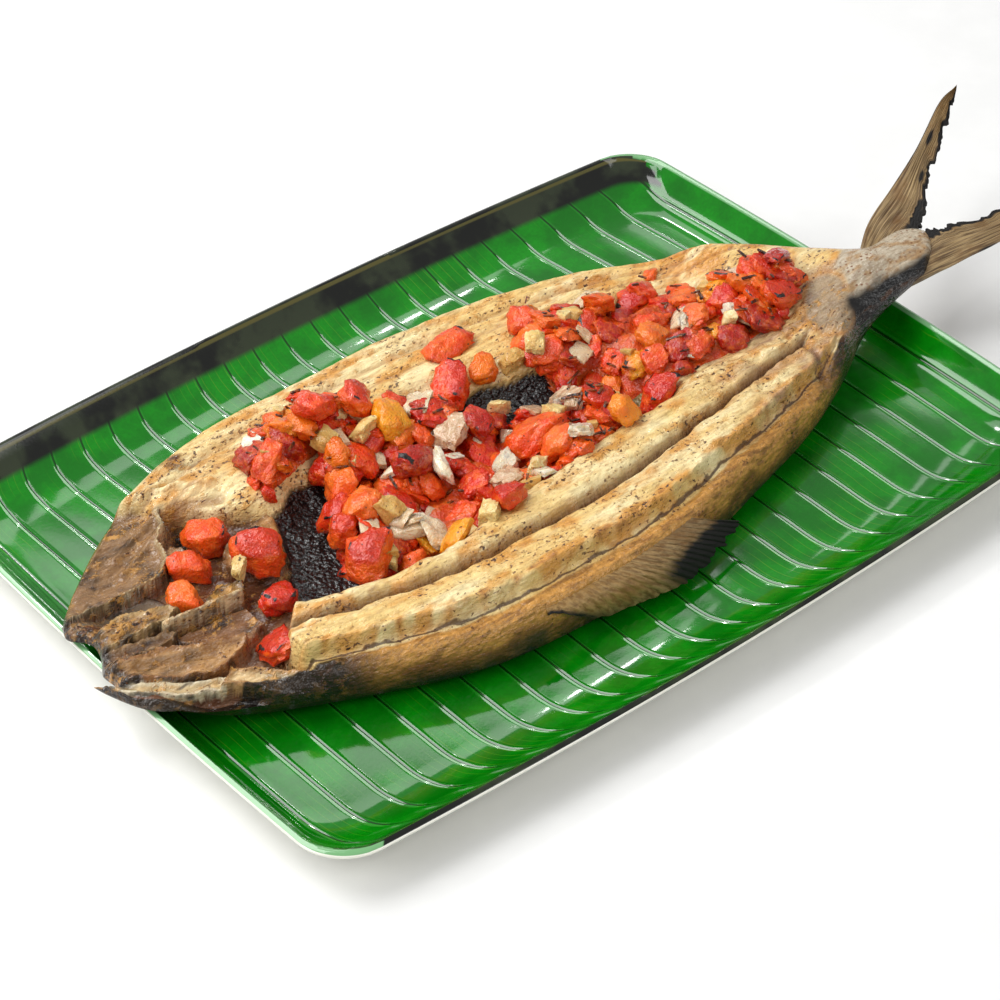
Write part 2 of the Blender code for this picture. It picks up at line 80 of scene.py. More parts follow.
def curveThrough(points):
    # a smooth function that passes through the points
    places, values = (np.array(column, float) for column in zip(*points))
    slopes = np.gradient(values, places)

    def valueAt(place):
        place = np.clip(place, places[0], places[-1])
        i = np.clip(np.searchsorted(places, place, side="right") - 1, 0, len(places) - 2)
        span = places[i + 1] - places[i]
        t = (place - places[i]) / span
        start = values[i] * (1 + 2 * t) * (1 - t) ** 2 + slopes[i] * span * t * (1 - t) ** 2
        end = values[i + 1] * t * t * (3 - 2 * t) + slopes[i + 1] * span * t * t * (t - 1)
        return start + end

    return valueAt


def softNoise(seed, *axes):
    # smooth random values from -1 to 1, one cell of noise for each unit along the axes
    axes = np.broadcast_arrays(*axes)
    cells = [np.floor(axis).astype(np.int64) for axis in axes]
    shares = [axis - cell for axis, cell in zip(axes, cells)]
    shares = [share * share * (3 - 2 * share) for share in shares]
    factors = (374761393, 668265263, 2147483629)
    total = np.zeros(axes[0].shape)
    for corner in range(2 ** len(axes)):
        weight = np.ones(axes[0].shape)
        mixed = np.full(axes[0].shape, seed * 1274126177, np.uint64)
        for k, (cell, share) in enumerate(zip(cells, shares)):
            step = corner >> k & 1
            weight = weight * (share if step else 1 - share)
            mixed = mixed + (cell + step).astype(np.uint64) * np.uint64(factors[k])
        mixed = mixed & np.uint64(0xFFFFFFFF)
        mixed = ((mixed ^ (mixed >> np.uint64(13))) * np.uint64(1274126177)) & np.uint64(0xFFFFFFFF)
        mixed = ((mixed ^ (mixed >> np.uint64(15))) * np.uint64(2246822519)) & np.uint64(0xFFFFFFFF)
        mixed = mixed ^ (mixed >> np.uint64(16))
        total += weight * (mixed & np.uint64(0xFFFFFF)).astype(float) / 0xFFFFFF
    return total * 2 - 1


def roughNoise(seed, octaves, *axes):
    total, size = 0.0, 1.0
    for octave in range(octaves):
        total = total + size * softNoise(seed + octave, *(axis * 2 ** octave for axis in axes))
        size *= 0.5
    return total / 1.6


def pointsOf(piece):
    places = np.empty(len(piece.data.vertices) * 3, np.float32)
    piece.data.vertices.foreach_get("co", places)
    return places.reshape(-1, 3).astype(float)


def movePoints(piece, places):
    piece.data.vertices.foreach_set("co", np.asarray(places, np.float32).ravel())
    piece.data.update()


def keepValue(piece, name, values):
    layer = piece.data.attributes.get(name) or piece.data.attributes.new(name, "FLOAT", "POINT")
    layer.data.foreach_set("value", np.asarray(values, np.float32).ravel())


def keepTone(piece, name, tones):
    layer = piece.data.attributes.get(name) or piece.data.attributes.new(name, "FLOAT_COLOR", "POINT")
    full = np.ones((len(tones), 4), np.float32)
    full[:, :3] = np.clip(tones, 0, 1)
    layer.data.foreach_set("color", full.ravel())


def valuesOf(piece, name):
    values = np.empty(len(piece.data.vertices), np.float32)
    piece.data.attributes[name].data.foreach_get("value", values)
    return values.astype(float)


def addGrid(name, columns, rows):
    # a flat grid whose corners are at -1 and 1
    bpy.ops.mesh.primitive_grid_add(x_subdivisions=columns, y_subdivisions=rows, size=2)
    piece = bpy.context.object
    piece.name = name
    piece.data.name = name
    return piece


def gridShares(piece):
    # each point's share of the grid's length and width, from 0 to 1
    flat = pointsOf(piece)
    return (flat[:, 0] + 1) / 2, (flat[:, 1] + 1) / 2


def copyOf(piece):
    copy = piece.copy()
    copy.data = piece.data.copy()
    bpy.context.collection.objects.link(copy)
    return copy


def selectOnly(piece):
    bpy.ops.object.select_all(action="DESELECT")
    bpy.context.view_layer.objects.active = piece
    piece.select_set(True)


def editOn(piece, kind="VERT"):
    selectOnly(piece)
    bpy.ops.object.mode_set(mode="EDIT")
    bpy.ops.mesh.select_mode(type=kind)


def editOff():
    bpy.ops.object.mode_set(mode="OBJECT")


def borderOn(piece):
    # edit mode with only the open border selected
    editOn(piece, "EDGE")
    bpy.ops.mesh.select_all(action="DESELECT")
    bpy.ops.mesh.select_non_manifold(
        extend=False, use_wire=False, use_boundary=True, use_multi_face=False,
        use_non_contiguous=False, use_verts=False,
    )


def growBorder(piece):
    # extrudes the open border in place, and tells which points are the new ones
    borderOn(piece)
    bpy.ops.mesh.extrude_region_move()
    editOff()
    grown = np.zeros(len(piece.data.vertices), bool)
    piece.data.vertices.foreach_get("select", grown)
    return grown


def closeBorder(piece):
    # one face across the open border
    borderOn(piece)
    bpy.ops.mesh.edge_face_add()
    editOff()


def tidyMesh(piece, merge=1e-6):
    editOn(piece)
    bpy.ops.mesh.select_all(action="SELECT")
    bpy.ops.mesh.remove_doubles(threshold=merge)
    bpy.ops.mesh.normals_make_consistent(inside=False)
    editOff()


def useModifier(piece, kind, **settings):
    selectOnly(piece)
    modifier = piece.modifiers.new(kind.lower(), kind)
    for name, value in settings.items():
        setattr(modifier, name, value)
    bpy.ops.object.modifier_apply(modifier=modifier.name)


def joinAll(name, parts):
    bpy.ops.object.select_all(action="DESELECT")
    for part in parts:
        part.select_set(True)
    bpy.context.view_layer.objects.active = parts[0]
    if len(parts) > 1:
        bpy.ops.object.join()
    joined = bpy.context.view_layer.objects.active
    joined.name = name
    joined.data.name = name
    return joined


def finishPiece(piece, nodes, material, angle=60):
    piece.data.materials.clear()
    piece.data.materials.append(material)
    selectOnly(piece)
    bpy.ops.object.shade_smooth_by_angle(angle=math.radians(angle))
    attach(piece, "root")
    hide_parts(*nodes)
    print(piece.name, len(piece.data.polygons), "faces")


# Material building

def feed(tree, node, inputs):
    # links what comes out of another node, and sets plain values on the sockets themselves
    for key, value in inputs.items():
        if isinstance(value, bpy.types.NodeSocket):
            tree.links.new(value, node.inputs[key])
        else:
            node.inputs[key].default_value = value


def newMaterial(name):
    material = bpy.data.materials.new(name)
    material.use_nodes = True
    return material, material.node_tree, material.node_tree.nodes["Principled BSDF"]


def addNode(tree, kind, inputs=None, **settings):
    node = tree.nodes.new(kind)
    for key, value in settings.items():
        setattr(node, key, value)
    feed(tree, node, inputs or {})
    return node


def objectPlace(tree, stretch=(1, 1, 1), turn=0.0):
    place = addNode(tree, "ShaderNodeTexCoord").outputs["Object"]
    inputs = {"Vector": place, "Scale": stretch, "Rotation": (0, 0, turn)}
    return addNode(tree, "ShaderNodeMapping", inputs).outputs["Vector"]


def noiseOn(tree, place, scale, detail=4.0, rough=0.55):
    inputs = {"Vector": place, "Scale": scale, "Detail": detail, "Roughness": rough}
    return addNode(tree, "ShaderNodeTexNoise", inputs).outputs["Fac"]


def cellsOn(tree, place, scale, feature="F1", output="Distance", randomness=1.0):
    inputs = {"Vector": place, "Scale": scale, "Randomness": randomness}
    return addNode(tree, "ShaderNodeTexVoronoi", inputs, feature=feature).outputs[output]


def readValue(tree, name, output="Fac"):
    return addNode(tree, "ShaderNodeAttribute", attribute_name=name).outputs[output]


def sums(tree, operation, first, second=0.5, third=0.5):
    inputs = dict(enumerate((first, second, third)))
    return addNode(tree, "ShaderNodeMath", inputs, operation=operation).outputs[0]


def times(tree, first, second):
    return sums(tree, "MULTIPLY", first, second)


def timesPlus(tree, first, second, third):
    return sums(tree, "MULTIPLY_ADD", first, second, third)


def spread(tree, value, fromLow, fromHigh, low=0.0, high=1.0):
    inputs = {"Value": value, "From Min": fromLow, "From Max": fromHigh, "To Min": low, "To Max": high}
    return addNode(tree, "ShaderNodeMapRange", inputs, interpolation_type="SMOOTHSTEP").outputs["Result"]


def mixTones(tree, share, first, second, blend="MIX"):
    first, second = (
        value if isinstance(value, bpy.types.NodeSocket) else (*value, 1) for value in (first, second)
    )
    inputs = {0: share, 6: first, 7: second}
    return addNode(tree, "ShaderNodeMix", inputs, data_type="RGBA", blend_type=blend).outputs[2]


def stain(tree, colour, share, strength, *screen):
    # the colour with a stain of one screen tone on it
    return mixTones(tree, times(tree, share, strength), colour, tone(*screen))


def bumpFrom(tree, height, strength, distance, under=None):
    inputs = {"Height": height, "Strength": strength, "Distance": distance}
    if under is not None:
        inputs["Normal"] = under
    return addNode(tree, "ShaderNodeBump", inputs).outputs["Normal"]


# Tray

tray = {
    "halfLength": 0.1525, "halfWidth": 0.1075, "corner": 0.0155, "endBow": 0.0027, "sideBow": 0.0053,
    "height": 0.015, "floor": 0.0035, "lip": 0.0022, "footInsetSide": 0.028, "footInsetEnd": 0.0165,
    "ribs": 24, "ribSpacing": 0.01235, "ribHeight": 0.0003, "ribHalfGap": 0.00062, "swell": 0.00005,
    "rows": 150, "hook": 0.0095, "hookStart": -0.078, "rimWidth": 0.0022, "edgeInset": 0.0015,
    "ribSteps": (-1.7, -1.25, -0.95, -0.75, -0.55, -0.3, 0, 0.3, 0.55, 0.75, 0.95, 1.25, 1.7),
    "stripSteps": (-0.0028, -0.001, 0.001, 0.0028), "wallSteps": (0.12, 0.3, 0.55, 0.8, 1.0),
    "tailEndSteps": (0.2, 0.4, 0.6, 0.8, 1.0), "headEndSteps": (0.12, 0.25, 0.4, 0.55, 0.7, 0.85, 1.0),
}


def ribPlace(number):
    # the ribs stand a little further apart towards the tail
    n = number - (tray["ribs"] - 1) / 2
    return tray["ribSpacing"] * n + 0.00003 * n * n - 0.0019


def levelSizes(insetSide, insetEnd):
    # half the length, half the width and the corner radius of one of the tray's levels
    corner = tray["corner"] - 0.25 * insetSide
    return tray["halfLength"] - insetEnd, tray["halfWidth"] - insetSide, corner


def trayOutline(a, b, insetSide, insetEnd):
    # the place on one level's bowed rounded rectangle, for shares from -1 to 1 of its length and width
    halfX, halfY, corner = levelSizes(insetSide, insetEnd)
    y = b * halfY
    over = np.clip(np.abs(y) - (halfY - corner), 0, corner)
    reach = halfX - corner + np.sqrt(corner ** 2 - over ** 2)
    x = a * reach
    bowX = tray["endBow"] * (1 - (y / halfY) ** 2) * x / halfX
    bowY = tray["sideBow"] * (1 - (x / halfX) ** 2) * y / halfY
    return x + bowX, y + bowY


def trayInset(share):
    return (
        mix(tray["rimWidth"], tray["footInsetSide"] - 0.001, share),
        mix(tray["rimWidth"], tray["footInsetEnd"] - 0.002, share),
    )


def beyondLevel(x, y, share):
    # how far a place lies outside the tray's inner level of that share
    halfX, halfY, corner = levelSizes(*trayInset(share))
    plainX = np.abs(x) - tray["endBow"] * (1 - (y / halfY) ** 2) * np.abs(x) / halfX
    plainY = np.abs(y) - tray["sideBow"] * (1 - (x / halfX) ** 2) * np.abs(y) / halfY
    overX = plainX - (halfX - corner)
    overY = plainY - (halfY - corner)
    outside = np.hypot(np.maximum(overX, 0), np.maximum(overY, 0))
    return outside + np.minimum(np.maximum(overX, overY), 0) - corner


def wallShare(x, y):
    # nought at the rim's inner edge and one at the foot of the wall
    low, high = np.zeros_like(x), np.ones_like(x)
    for _ in range(24):
        middle = (low + high) / 2
        further = beyondLevel(x, y, middle) < 0
        low = np.where(further, middle, low)
        high = np.where(further, high, middle)
    return (low + high) / 2


def makeTray():
    ribs = [ribPlace(k) for k in range(tray["ribs"])]
    fine = np.array(tray["ribSteps"]) * 0.001
    columns = sorted(rib + offset for rib in ribs for offset in fine)
    middles = [(a + b) / 2 for a, b in zip(ribs, ribs[1:])]
    columns += [middle + step for middle in middles for step in tray["stripSteps"]]
    edge = tray["halfLength"] - tray["edgeInset"]
    last = ribs[-1] + 0.0017
    columns += [mix(last, edge, share) for share in tray["tailEndSteps"]]
    first = ribs[0] - 0.0017
    columns += [mix(first, -edge, share) for share in tray["headEndSteps"]]
    columns = np.array(sorted(columns)) / edge
    piece = addGrid("servingTray", len(columns) - 1, tray["rows"])
    flat = pointsOf(piece)
    number = np.rint((flat[:, 0] + 1) / 2 * (len(columns) - 1)).astype(int)
    a = columns[number]
    b = np.sin(flat[:, 1] * math.pi / 2 * 0.86) / math.sin(math.pi / 2 * 0.86)
    keepValue(piece, "shareX", a)
    keepValue(piece, "shareY", b)
    straightX = a * edge
    # the near ends of the ribs hook towards the tail as they climb the wall
    nearness = np.clip((tray["hookStart"] - b * tray["halfWidth"]) / 0.028, 0, 1)
    hooked = a + tray["hook"] / edge * nearness ** 2 * (1 - a ** 4)
    lean = 0.004 * ease(0.04, 0.1, b * tray["halfWidth"]) / edge * (1 - a ** 4)
    x, y = trayOutline(hooked - lean, b, tray["edgeInset"], tray["edgeInset"])
    climb = wallShare(x, y)
    drop = 1 - (1 - climb) ** 2.2
    top = tray["height"] - 0.0003
    z = top - (top - tray["floor"]) * drop
    outermost = beyondLevel(x, y, np.zeros_like(x)) > 0
    z = np.where(outermost, tray["height"], z)
    # ribs fade out up the wall, and each strip between them swells a little
    along = np.array(ribs)
    nearest = np.abs(straightX[:, None] - along[None, :]).argmin(axis=1)
    offset = straightX - along[nearest]
    fade = ease(0.33, 0.52, climb)
    ridges = bump(np.abs(offset) - tray["ribHalfGap"], 0.0003) - 0.25 * bump(offset, 0.00025)
    between = np.clip(np.abs(offset) / 0.0062, 0, 1)
    swell = tray["swell"] * (1 - (1 - between) ** 2) * fade
    z = z + fade * tray["ribHeight"] * ridges + swell * (1 - bump(offset, 0.0016))
    movePoints(piece, np.stack([x, y, z], 1))
    phase = nearest + offset / tray["ribSpacing"]
    keepValue(piece, "ribPhase", phase)
    keepValue(piece, "climb", np.where(outermost, -0.1, climb))
    keepValue(piece, "sideways", np.abs(b) ** 2 > np.abs(a) ** 14)
    keepValue(piece, "farSide", b > 0)
    keepValue(piece, "cream", np.zeros(len(x)))
    # the lip, the outer wall and the foot, each grown from the open border
    levels = [(0.0005, 0.0005, tray["height"] - 0.0002), (0.0, 0.0, tray["height"] - 0.0007)]
    levels += [(0.0, 0.0, tray["height"] - 0.0013), (0.0008, 0.0008, tray["height"] - tray["lip"])]
    for share in tray["wallSteps"]:
        inset = (mix(0.001, tray["footInsetSide"], share), mix(0.001, tray["footInsetEnd"], share))
        levels.append((*inset, (tray["height"] - tray["lip"]) * (1 - share) ** 2))
    for number, (insetSide, insetEnd, level) in enumerate(levels):
        grown = growBorder(piece)
        places = pointsOf(piece)
        a, b = valuesOf(piece, "shareX")[grown], valuesOf(piece, "shareY")[grown]
        x, y = trayOutline(a, b, insetSide, insetEnd)
        places[grown] = np.stack([x, y, np.full_like(x, level)], 1)
        movePoints(piece, places)
        cream = valuesOf(piece, "cream")
        cream[grown] = 1.0 if number > 0 else 0.0
        keepValue(piece, "cream", cream)
    closeBorder(piece)
    tidyMesh(piece, 1e-7)
    return piece


def trayGlaze():
    material, tree, shader = newMaterial("leafGreenMelamine")
    names = ("ribPhase", "climb", "cream", "sideways")
    phase, climb, cream, sideways = (readValue(tree, name) for name in names)
    place = objectPlace(tree)
    mottle = noiseOn(tree, place, 60, 3)
    grain = noiseOn(tree, place, 900, 2)
    green = mixTones(tree, spread(tree, mottle, 0.35, 0.65), tone(4, 106, 8), tone(8, 134, 12))
    green = mixTones(tree, spread(tree, grain, 0.3, 0.7, 0.0, 0.3), green, tone(2, 96, 4))
    # printed veins, three to a strip, thin and yellowish
    waver = timesPlus(tree, noiseOn(tree, place, 45, 2), 0.16, phase)
    vein = sums(tree, "PINGPONG", times(tree, waver, 4.0), 0.5)
    line = spread(tree, vein, 0.045, 0.015)
    faded = spread(tree, noiseOn(tree, place, 30, 2), 0.46, 0.66, 0.0, 0.6)
    green = mixTones(tree, times(tree, line, faded), green, tone(96, 146, 30))
    # each rib is a pair of ridges, painted paler as a painted highlight, with a dark line between them
    ribbed = sums(tree, "PINGPONG", phase, 0.5)
    green = mixTones(tree, spread(tree, ribbed, 0.1, 0.06, 0.0, 0.35), green, tone(40, 140, 40))
    green = mixTones(tree, spread(tree, ribbed, 0.04, 0.022, 0.0, 0.85), green, tone(0, 46, 0))
    farSide = spread(tree, readValue(tree, "farSide"), 0.4, 0.6)
    darkened = timesPlus(tree, farSide, -0.2, climb)
    edge = times(tree, spread(tree, darkened, 0.15, 0.06), spread(tree, sideways, 0.2, 0.8))
    smoky = mixTones(tree, spread(tree, mottle, 0.42, 0.62), tone(10, 13, 8), tone(46, 54, 36))
    printed = mixTones(tree, edge, green, smoky)
    gold = times(tree, spread(tree, climb, 0.05, 0.03), spread(tree, climb, -0.01, 0.01))
    gold = times(tree, gold, spread(tree, sideways, 0.2, 0.8))
    printed = mixTones(tree, gold, printed, tone(90, 85, 40))
    lipLine = times(tree, spread(tree, climb, 0.03, -0.02), spread(tree, sideways, 0.8, 0.2))
    printed = mixTones(tree, lipLine, printed, tone(120, 175, 120))
    colour = mixTones(tree, spread(tree, cream, 0.45, 0.55), printed, tone(236, 236, 222))
    feed(tree, shader, {
        "Base Color": colour, "Roughness": 0.09, "Normal": bumpFrom(tree, grain, 0.05, 0.0002),
        "IOR": 1.5, "Coat Weight": 0.6, "Coat Roughness": 0.06,
    })
    return material


# Fish

fish = {
    "snout": -0.163, "fork": 0.174, "forkRound": 0.015, "underside": 0.0039, "skinTop": 0.021,
    "loinTop": 0.027, "bandTop": 0.0255, "cavityFloor": 0.0088, "tailFlesh": 0.0222, "farFlesh": 0.0203,
    "throat": 0.0122, "grooveDepth": 0.0078, "thinnest": 0.0034, "cutAt": 0.062, "grooveAt": 0.2,
    "farGrooveAt": 0.905, "farLineAt": 0.845, "tailFrom": 0.098, "tailTo": 0.118, "stemFrom": 0.112,
    "columns": 440, "rows": 200, "crowdAlong": 0.25, "crowdAcross": 0.45,
    "rings": (0.012, 0.035, 0.07, 0.12, 0.19, 0.27, 0.35, 0.43, 0.5),
}
nearEdge = curveThrough([
    (-0.163, -0.01), (-0.1585, -0.021), (-0.148, -0.031), (-0.121, -0.0445), (-0.09, -0.058),
    (-0.061, -0.0675), (-0.03, -0.0702), (0.01, -0.069), (0.051, -0.06), (0.092, -0.049),
    (0.113, -0.04), (0.13, -0.032), (0.148, -0.03), (0.174, -0.03),
])
farEdge = curveThrough([
    (-0.163, 0.013), (-0.1565, 0.019), (-0.148, 0.0275), (-0.108, 0.058), (-0.078, 0.0685),
    (-0.034, 0.071), (0.01, 0.0712), (0.047, 0.0665), (0.088, 0.054), (0.108, 0.042), (0.128, 0.027),
    (0.14, 0.009), (0.15, -0.005), (0.174, -0.001),
])
snoutSetback = curveThrough([
    (0.0, 0.001), (0.08, 0.0), (0.2, 0.0045), (0.42, 0.005), (0.7, 0.0105), (0.94, 0.006),
    (1.0, 0.0075),
])
edgeLevel = curveThrough([
    (-0.163, 0.0182), (-0.14, 0.015), (-0.11, 0.012), (0.09, 0.012), (0.12, 0.0165), (0.15, 0.0262),
    (0.174, 0.0308),
])
undersideLevel = curveThrough([
    (-0.163, 0.0168), (-0.152, 0.0165), (-0.14, 0.0095), (-0.122, 0.0042), (-0.11, 0.0039),
    (0.095, 0.0039), (0.11, 0.0048), (0.125, 0.009), (0.142, 0.0165), (0.174, 0.0285),
])
headTop = curveThrough([(-0.163, 0.0215), (-0.145, 0.0195), (-0.12, 0.0175), (-0.1, 0.0175)])
stemTop = curveThrough([(0.09, 0.0235), (0.12, 0.0275), (0.15, 0.0335), (0.174, 0.033)])
bandEnd = curveThrough([
    (-0.1, 0.25), (-0.06, 0.245), (-0.02, 0.285), (0.02, 0.31), (0.06, 0.29), (0.1, 0.265),
])
cavityFar = curveThrough([
    (-0.12, 0.6), (-0.083, 0.68), (-0.05, 0.76), (0.01, 0.755), (0.04, 0.68), (0.06, 0.6),
    (0.12, 0.62),
])
# Where the cream flesh begins behind the head, by Y
bodyStart = curveThrough([
    (-0.066, -0.112), (-0.05, -0.109), (-0.04, -0.1125), (-0.031, -0.111), (-0.025, -0.105),
    (-0.018, -0.097), (0.0, -0.087), (0.012, -0.08), (0.022, -0.077), (0.03, -0.086), (0.038, -0.095),
    (0.046, -0.104), (0.055, -0.1125), (0.066, -0.118),
])
# The split head is a nest of thin plates: outline in plan, level, tilt along Y, raised rim, two tones
headPlates = [
    {   # far gill cover, seen from inside
        "outline": [
            (-0.162, 0.0182), (-0.154, 0.03), (-0.135, 0.046), (-0.116, 0.062), (-0.106, 0.059),
            (-0.102, 0.048), (-0.1045, 0.0385), (-0.1105, 0.0335), (-0.113, 0.0255), (-0.118, 0.0195),
            (-0.13, 0.0178), (-0.15, 0.017),
        ],
        "level": 0.0158, "tilt": -0.02, "rim": 0.003, "tone": (140, 106, 70), "rimTone": (206, 184, 140),
    },
    {   # roof of the mouth
        "outline": [
            (-0.156, 0.008), (-0.154, 0.0175), (-0.14, 0.0185), (-0.126, 0.018), (-0.123, 0.012),
            (-0.13, 0.007), (-0.145, 0.008),
        ],
        "level": 0.0128, "tilt": 0.1, "rim": 0.0003, "tone": (128, 112, 92), "rimTone": (96, 76, 58),
    },
    {   # upper jaw
        "outline": [
            (-0.157, 0.0015), (-0.1525, 0.0078), (-0.143, 0.0098), (-0.135, 0.0082), (-0.127, 0.006),
            (-0.124, 0.0032), (-0.13, 0.0008), (-0.14, 0.0002), (-0.15, -0.0004),
        ],
        "level": 0.0184, "tilt": 0.08, "rim": 0.0014, "tone": (158, 124, 82), "rimTone": (206, 176, 124),
    },
    {   # fold under it
        "outline": [
            (-0.159, -0.0006), (-0.148, -0.0008), (-0.136, -0.0022), (-0.13, -0.004), (-0.134, -0.007),
            (-0.143, -0.0076), (-0.152, -0.007), (-0.159, -0.0062),
        ],
        "level": 0.0166, "tilt": 0.12, "rim": 0.0016, "tone": (110, 80, 54), "rimTone": (164, 130, 88),
    },
    {   # skin stretched below the jaw bar
        "outline": [
            (-0.134, -0.0035), (-0.116, -0.0045), (-0.107, -0.0055), (-0.1075, -0.016),
            (-0.116, -0.019), (-0.127, -0.013),
        ],
        "level": 0.0148, "tilt": -0.05, "rim": 0.001, "tone": (124, 86, 56), "rimTone": (146, 104, 70),
    },
    {   # jaw bar
        "outline": [
            (-0.134, 0.0), (-0.124, -0.0002), (-0.115, -0.0008), (-0.106, -0.0028), (-0.1065, -0.005),
            (-0.116, -0.0038), (-0.125, -0.003), (-0.134, -0.0028),
        ],
        # the pale rim tone is a painted highlight along the bar's top
        "level": 0.0196, "tilt": 0.0, "rim": 0.0006, "tone": (196, 162, 112), "rimTone": (228, 204, 160),
    },
    {   # lower jaw
        "outline": [
            (-0.1615, -0.0082), (-0.15, -0.0086), (-0.14, -0.01), (-0.129, -0.0148), (-0.116, -0.0182),
            (-0.118, -0.0215), (-0.125, -0.0255), (-0.133, -0.0264), (-0.142, -0.0238),
            (-0.152, -0.0178), (-0.161, -0.0122),
        ],
        "level": 0.0182, "tilt": 0.16, "rim": 0.0017, "tone": (172, 132, 86), "rimTone": (150, 100, 56),
    },
    {   # its glassy lip
        "outline": [
            (-0.161, -0.0122), (-0.152, -0.018), (-0.142, -0.0242), (-0.133, -0.0268),
            (-0.129, -0.0292), (-0.133, -0.0335), (-0.145, -0.0292), (-0.156, -0.0218),
            (-0.164, -0.014),
        ],
        "level": 0.0168, "tilt": 0.06, "rim": 0.001, "tone": (206, 180, 132), "rimTone": (222, 210, 178),
    },
    {   # cut flesh along the near gill opening
        "outline": [
            (-0.129, -0.028), (-0.121, -0.0345), (-0.1125, -0.0425), (-0.107, -0.048), (-0.1, -0.056),
            (-0.106, -0.062), (-0.118, -0.049), (-0.129, -0.038), (-0.1345, -0.0325),
        ],
        "level": 0.0182, "tilt": 0.05, "rim": 0.0013, "tone": (214, 186, 138), "rimTone": (176, 126, 72),
    },
    {   # gill arch
        "outline": [
            (-0.104, 0.012), (-0.097, 0.018), (-0.086, 0.0215), (-0.073, 0.0235), (-0.07, 0.018),
            (-0.08, 0.0105), (-0.085, 0.004), (-0.094, 0.005), (-0.102, 0.0085),
        ],
        "level": 0.0172, "tilt": 0.05, "rim": 0.001, "tone": (168, 124, 72), "rimTone": (110, 76, 46),
    },
    {   # gill arch beside the jaw bar
        "outline": [
            (-0.1185, 0.0), (-0.1105, 0.0044), (-0.103, 0.001), (-0.105, -0.0042), (-0.116, -0.0035),
        ],
        "level": 0.0188, "tilt": 0.0, "rim": 0.0012, "tone": (184, 134, 62), "rimTone": (48, 32, 20),
    },
    {   # scrap in the throat
        "outline": [
            (-0.1165, 0.0205), (-0.1125, 0.03), (-0.106, 0.033), (-0.1055, 0.0215), (-0.111, 0.0185),
        ],
        "level": 0.0152, "tilt": -0.1, "rim": 0.0012, "tone": (172, 138, 104), "rimTone": (96, 66, 44),
    },
]
# Folds on the plates and the cheek: start, end, half width and height, negative where it is hollow
headFolds = [
    ((-0.159, -0.009), (-0.119, -0.019), 0.0009, 0.0012),
    ((-0.15, -0.0125), (-0.128, -0.019), 0.0011, -0.0012),
    ((-0.151, 0.006), (-0.129, 0.0035), 0.0008, 0.0012),
    ((-0.148, 0.003), (-0.13, 0.0018), 0.0007, -0.001),
    ((-0.132, -0.0012), (-0.107, -0.0038), 0.0008, 0.0012),
    ((-0.146, 0.029), (-0.118, 0.05), 0.0009, 0.001),
    ((-0.128, 0.029), (-0.108, 0.038), 0.0016, 0.002),
    ((-0.126, 0.036), (-0.106, 0.045), 0.0012, 0.0014),
    ((-0.138, 0.027), (-0.118, 0.034), 0.0034, -0.0014),
    ((-0.113, 0.0545), (-0.1, 0.051), 0.0016, 0.0016),
    ((-0.1, 0.051), (-0.084, 0.044), 0.0018, 0.0018),
    ((-0.104, 0.033), (-0.098, 0.04), 0.003, -0.005),
    ((-0.098, 0.042), (-0.086, 0.037), 0.0036, -0.0026),
    ((-0.098, 0.0135), (-0.076, 0.02), 0.001, 0.0012),
    ((-0.096, 0.009), (-0.078, 0.015), 0.0009, 0.001),
]


def distanceTo(start, end, x, y):
    # the distance from the straight line between two points
    runX, runY = end[0] - start[0], end[1] - start[1]
    length = runX ** 2 + runY ** 2
    along = np.clip(((x - start[0]) * runX + (y - start[1]) * runY) / length, 0, 1)
    return np.hypot(x - start[0] - along * runX, y - start[1] - along * runY)


def foldsHeight(x, y):
    height = np.zeros_like(x)
    for start, end, halfWidth, rise in headFolds:
        height += rise * bump(distanceTo(start, end, x, y), halfWidth)
    return height


def insideBy(outline, x, y):
    # the distance inside an outline, negative outside it
    nearest = np.full(x.shape, 1.0)
    inside = np.zeros(x.shape, bool)
    for start, end in zip(outline, outline[1:] + outline[:1]):
        nearest = np.minimum(nearest, distanceTo(start, end, x, y))
        crosses = (start[1] > y) != (end[1] > y)
        slant = (end[0] - start[0]) / (end[1] - start[1] + 1e-12)
        inside ^= crosses & (x < start[0] + (y - start[1]) * slant)
    return np.where(inside, nearest, -nearest)


def platesAt(x, y):
    # the highest plate at each place: its level, which one it is, and how far inside its edge
    level = np.full(x.shape, fish["throat"])
    which = np.full(x.shape, -1)
    depth = np.zeros(x.shape)
    near = x < -0.066
    px, py = x[near], y[near]
    jag = 0.0006 * softNoise(44, px / 0.003, py / 0.003)
    jag = jag + 0.0003 * softNoise(45, px / 0.0011, py / 0.0011)
    rise = headTop(px) - headTop(-0.11)
    top = fish["throat"] + rise + 0.0012 * softNoise(47, px / 0.01, py / 0.01)
    number = np.full(px.shape, -1)
    deep = np.zeros(px.shape)
    for k, plate in enumerate(headPlates):
        inside = insideBy(plate["outline"], px, py) + jag
        share = ease(-0.0006, 0.0006, inside)
        middle = np.mean([point[1] for point in plate["outline"]])
        own = plate["level"] + rise + plate["tilt"] * (py - middle)
        own = own + plate["rim"] * bump(inside - 0.0006, 0.0014)
        chosen = (share > 0.5) & (own > top)
        number = np.where(chosen, k, number)
        deep = np.where(chosen, inside, deep)
        top = np.maximum(top, mix(top, own, share))
    level[near], which[near], depth[near] = top, number, deep
    return level, which, depth


def bodyShare(x, y, soft=0.0022):
    start = bodyStart(y)
    return ease(start - soft, start + soft, x)


def cavityOn(x):
    return ease(-0.104, -0.09, x) * (1 - ease(0.046, 0.062, x))


def tailOn(x):
    return ease(fish["tailFrom"], fish["tailTo"], x)


def creaseOn(x, y):
    # a deep crease between the loin's tail end and the stem
    return bump(x - 0.1 - 0.35 * (y + 0.04), 0.0016) * bump(y + 0.036, 0.012)


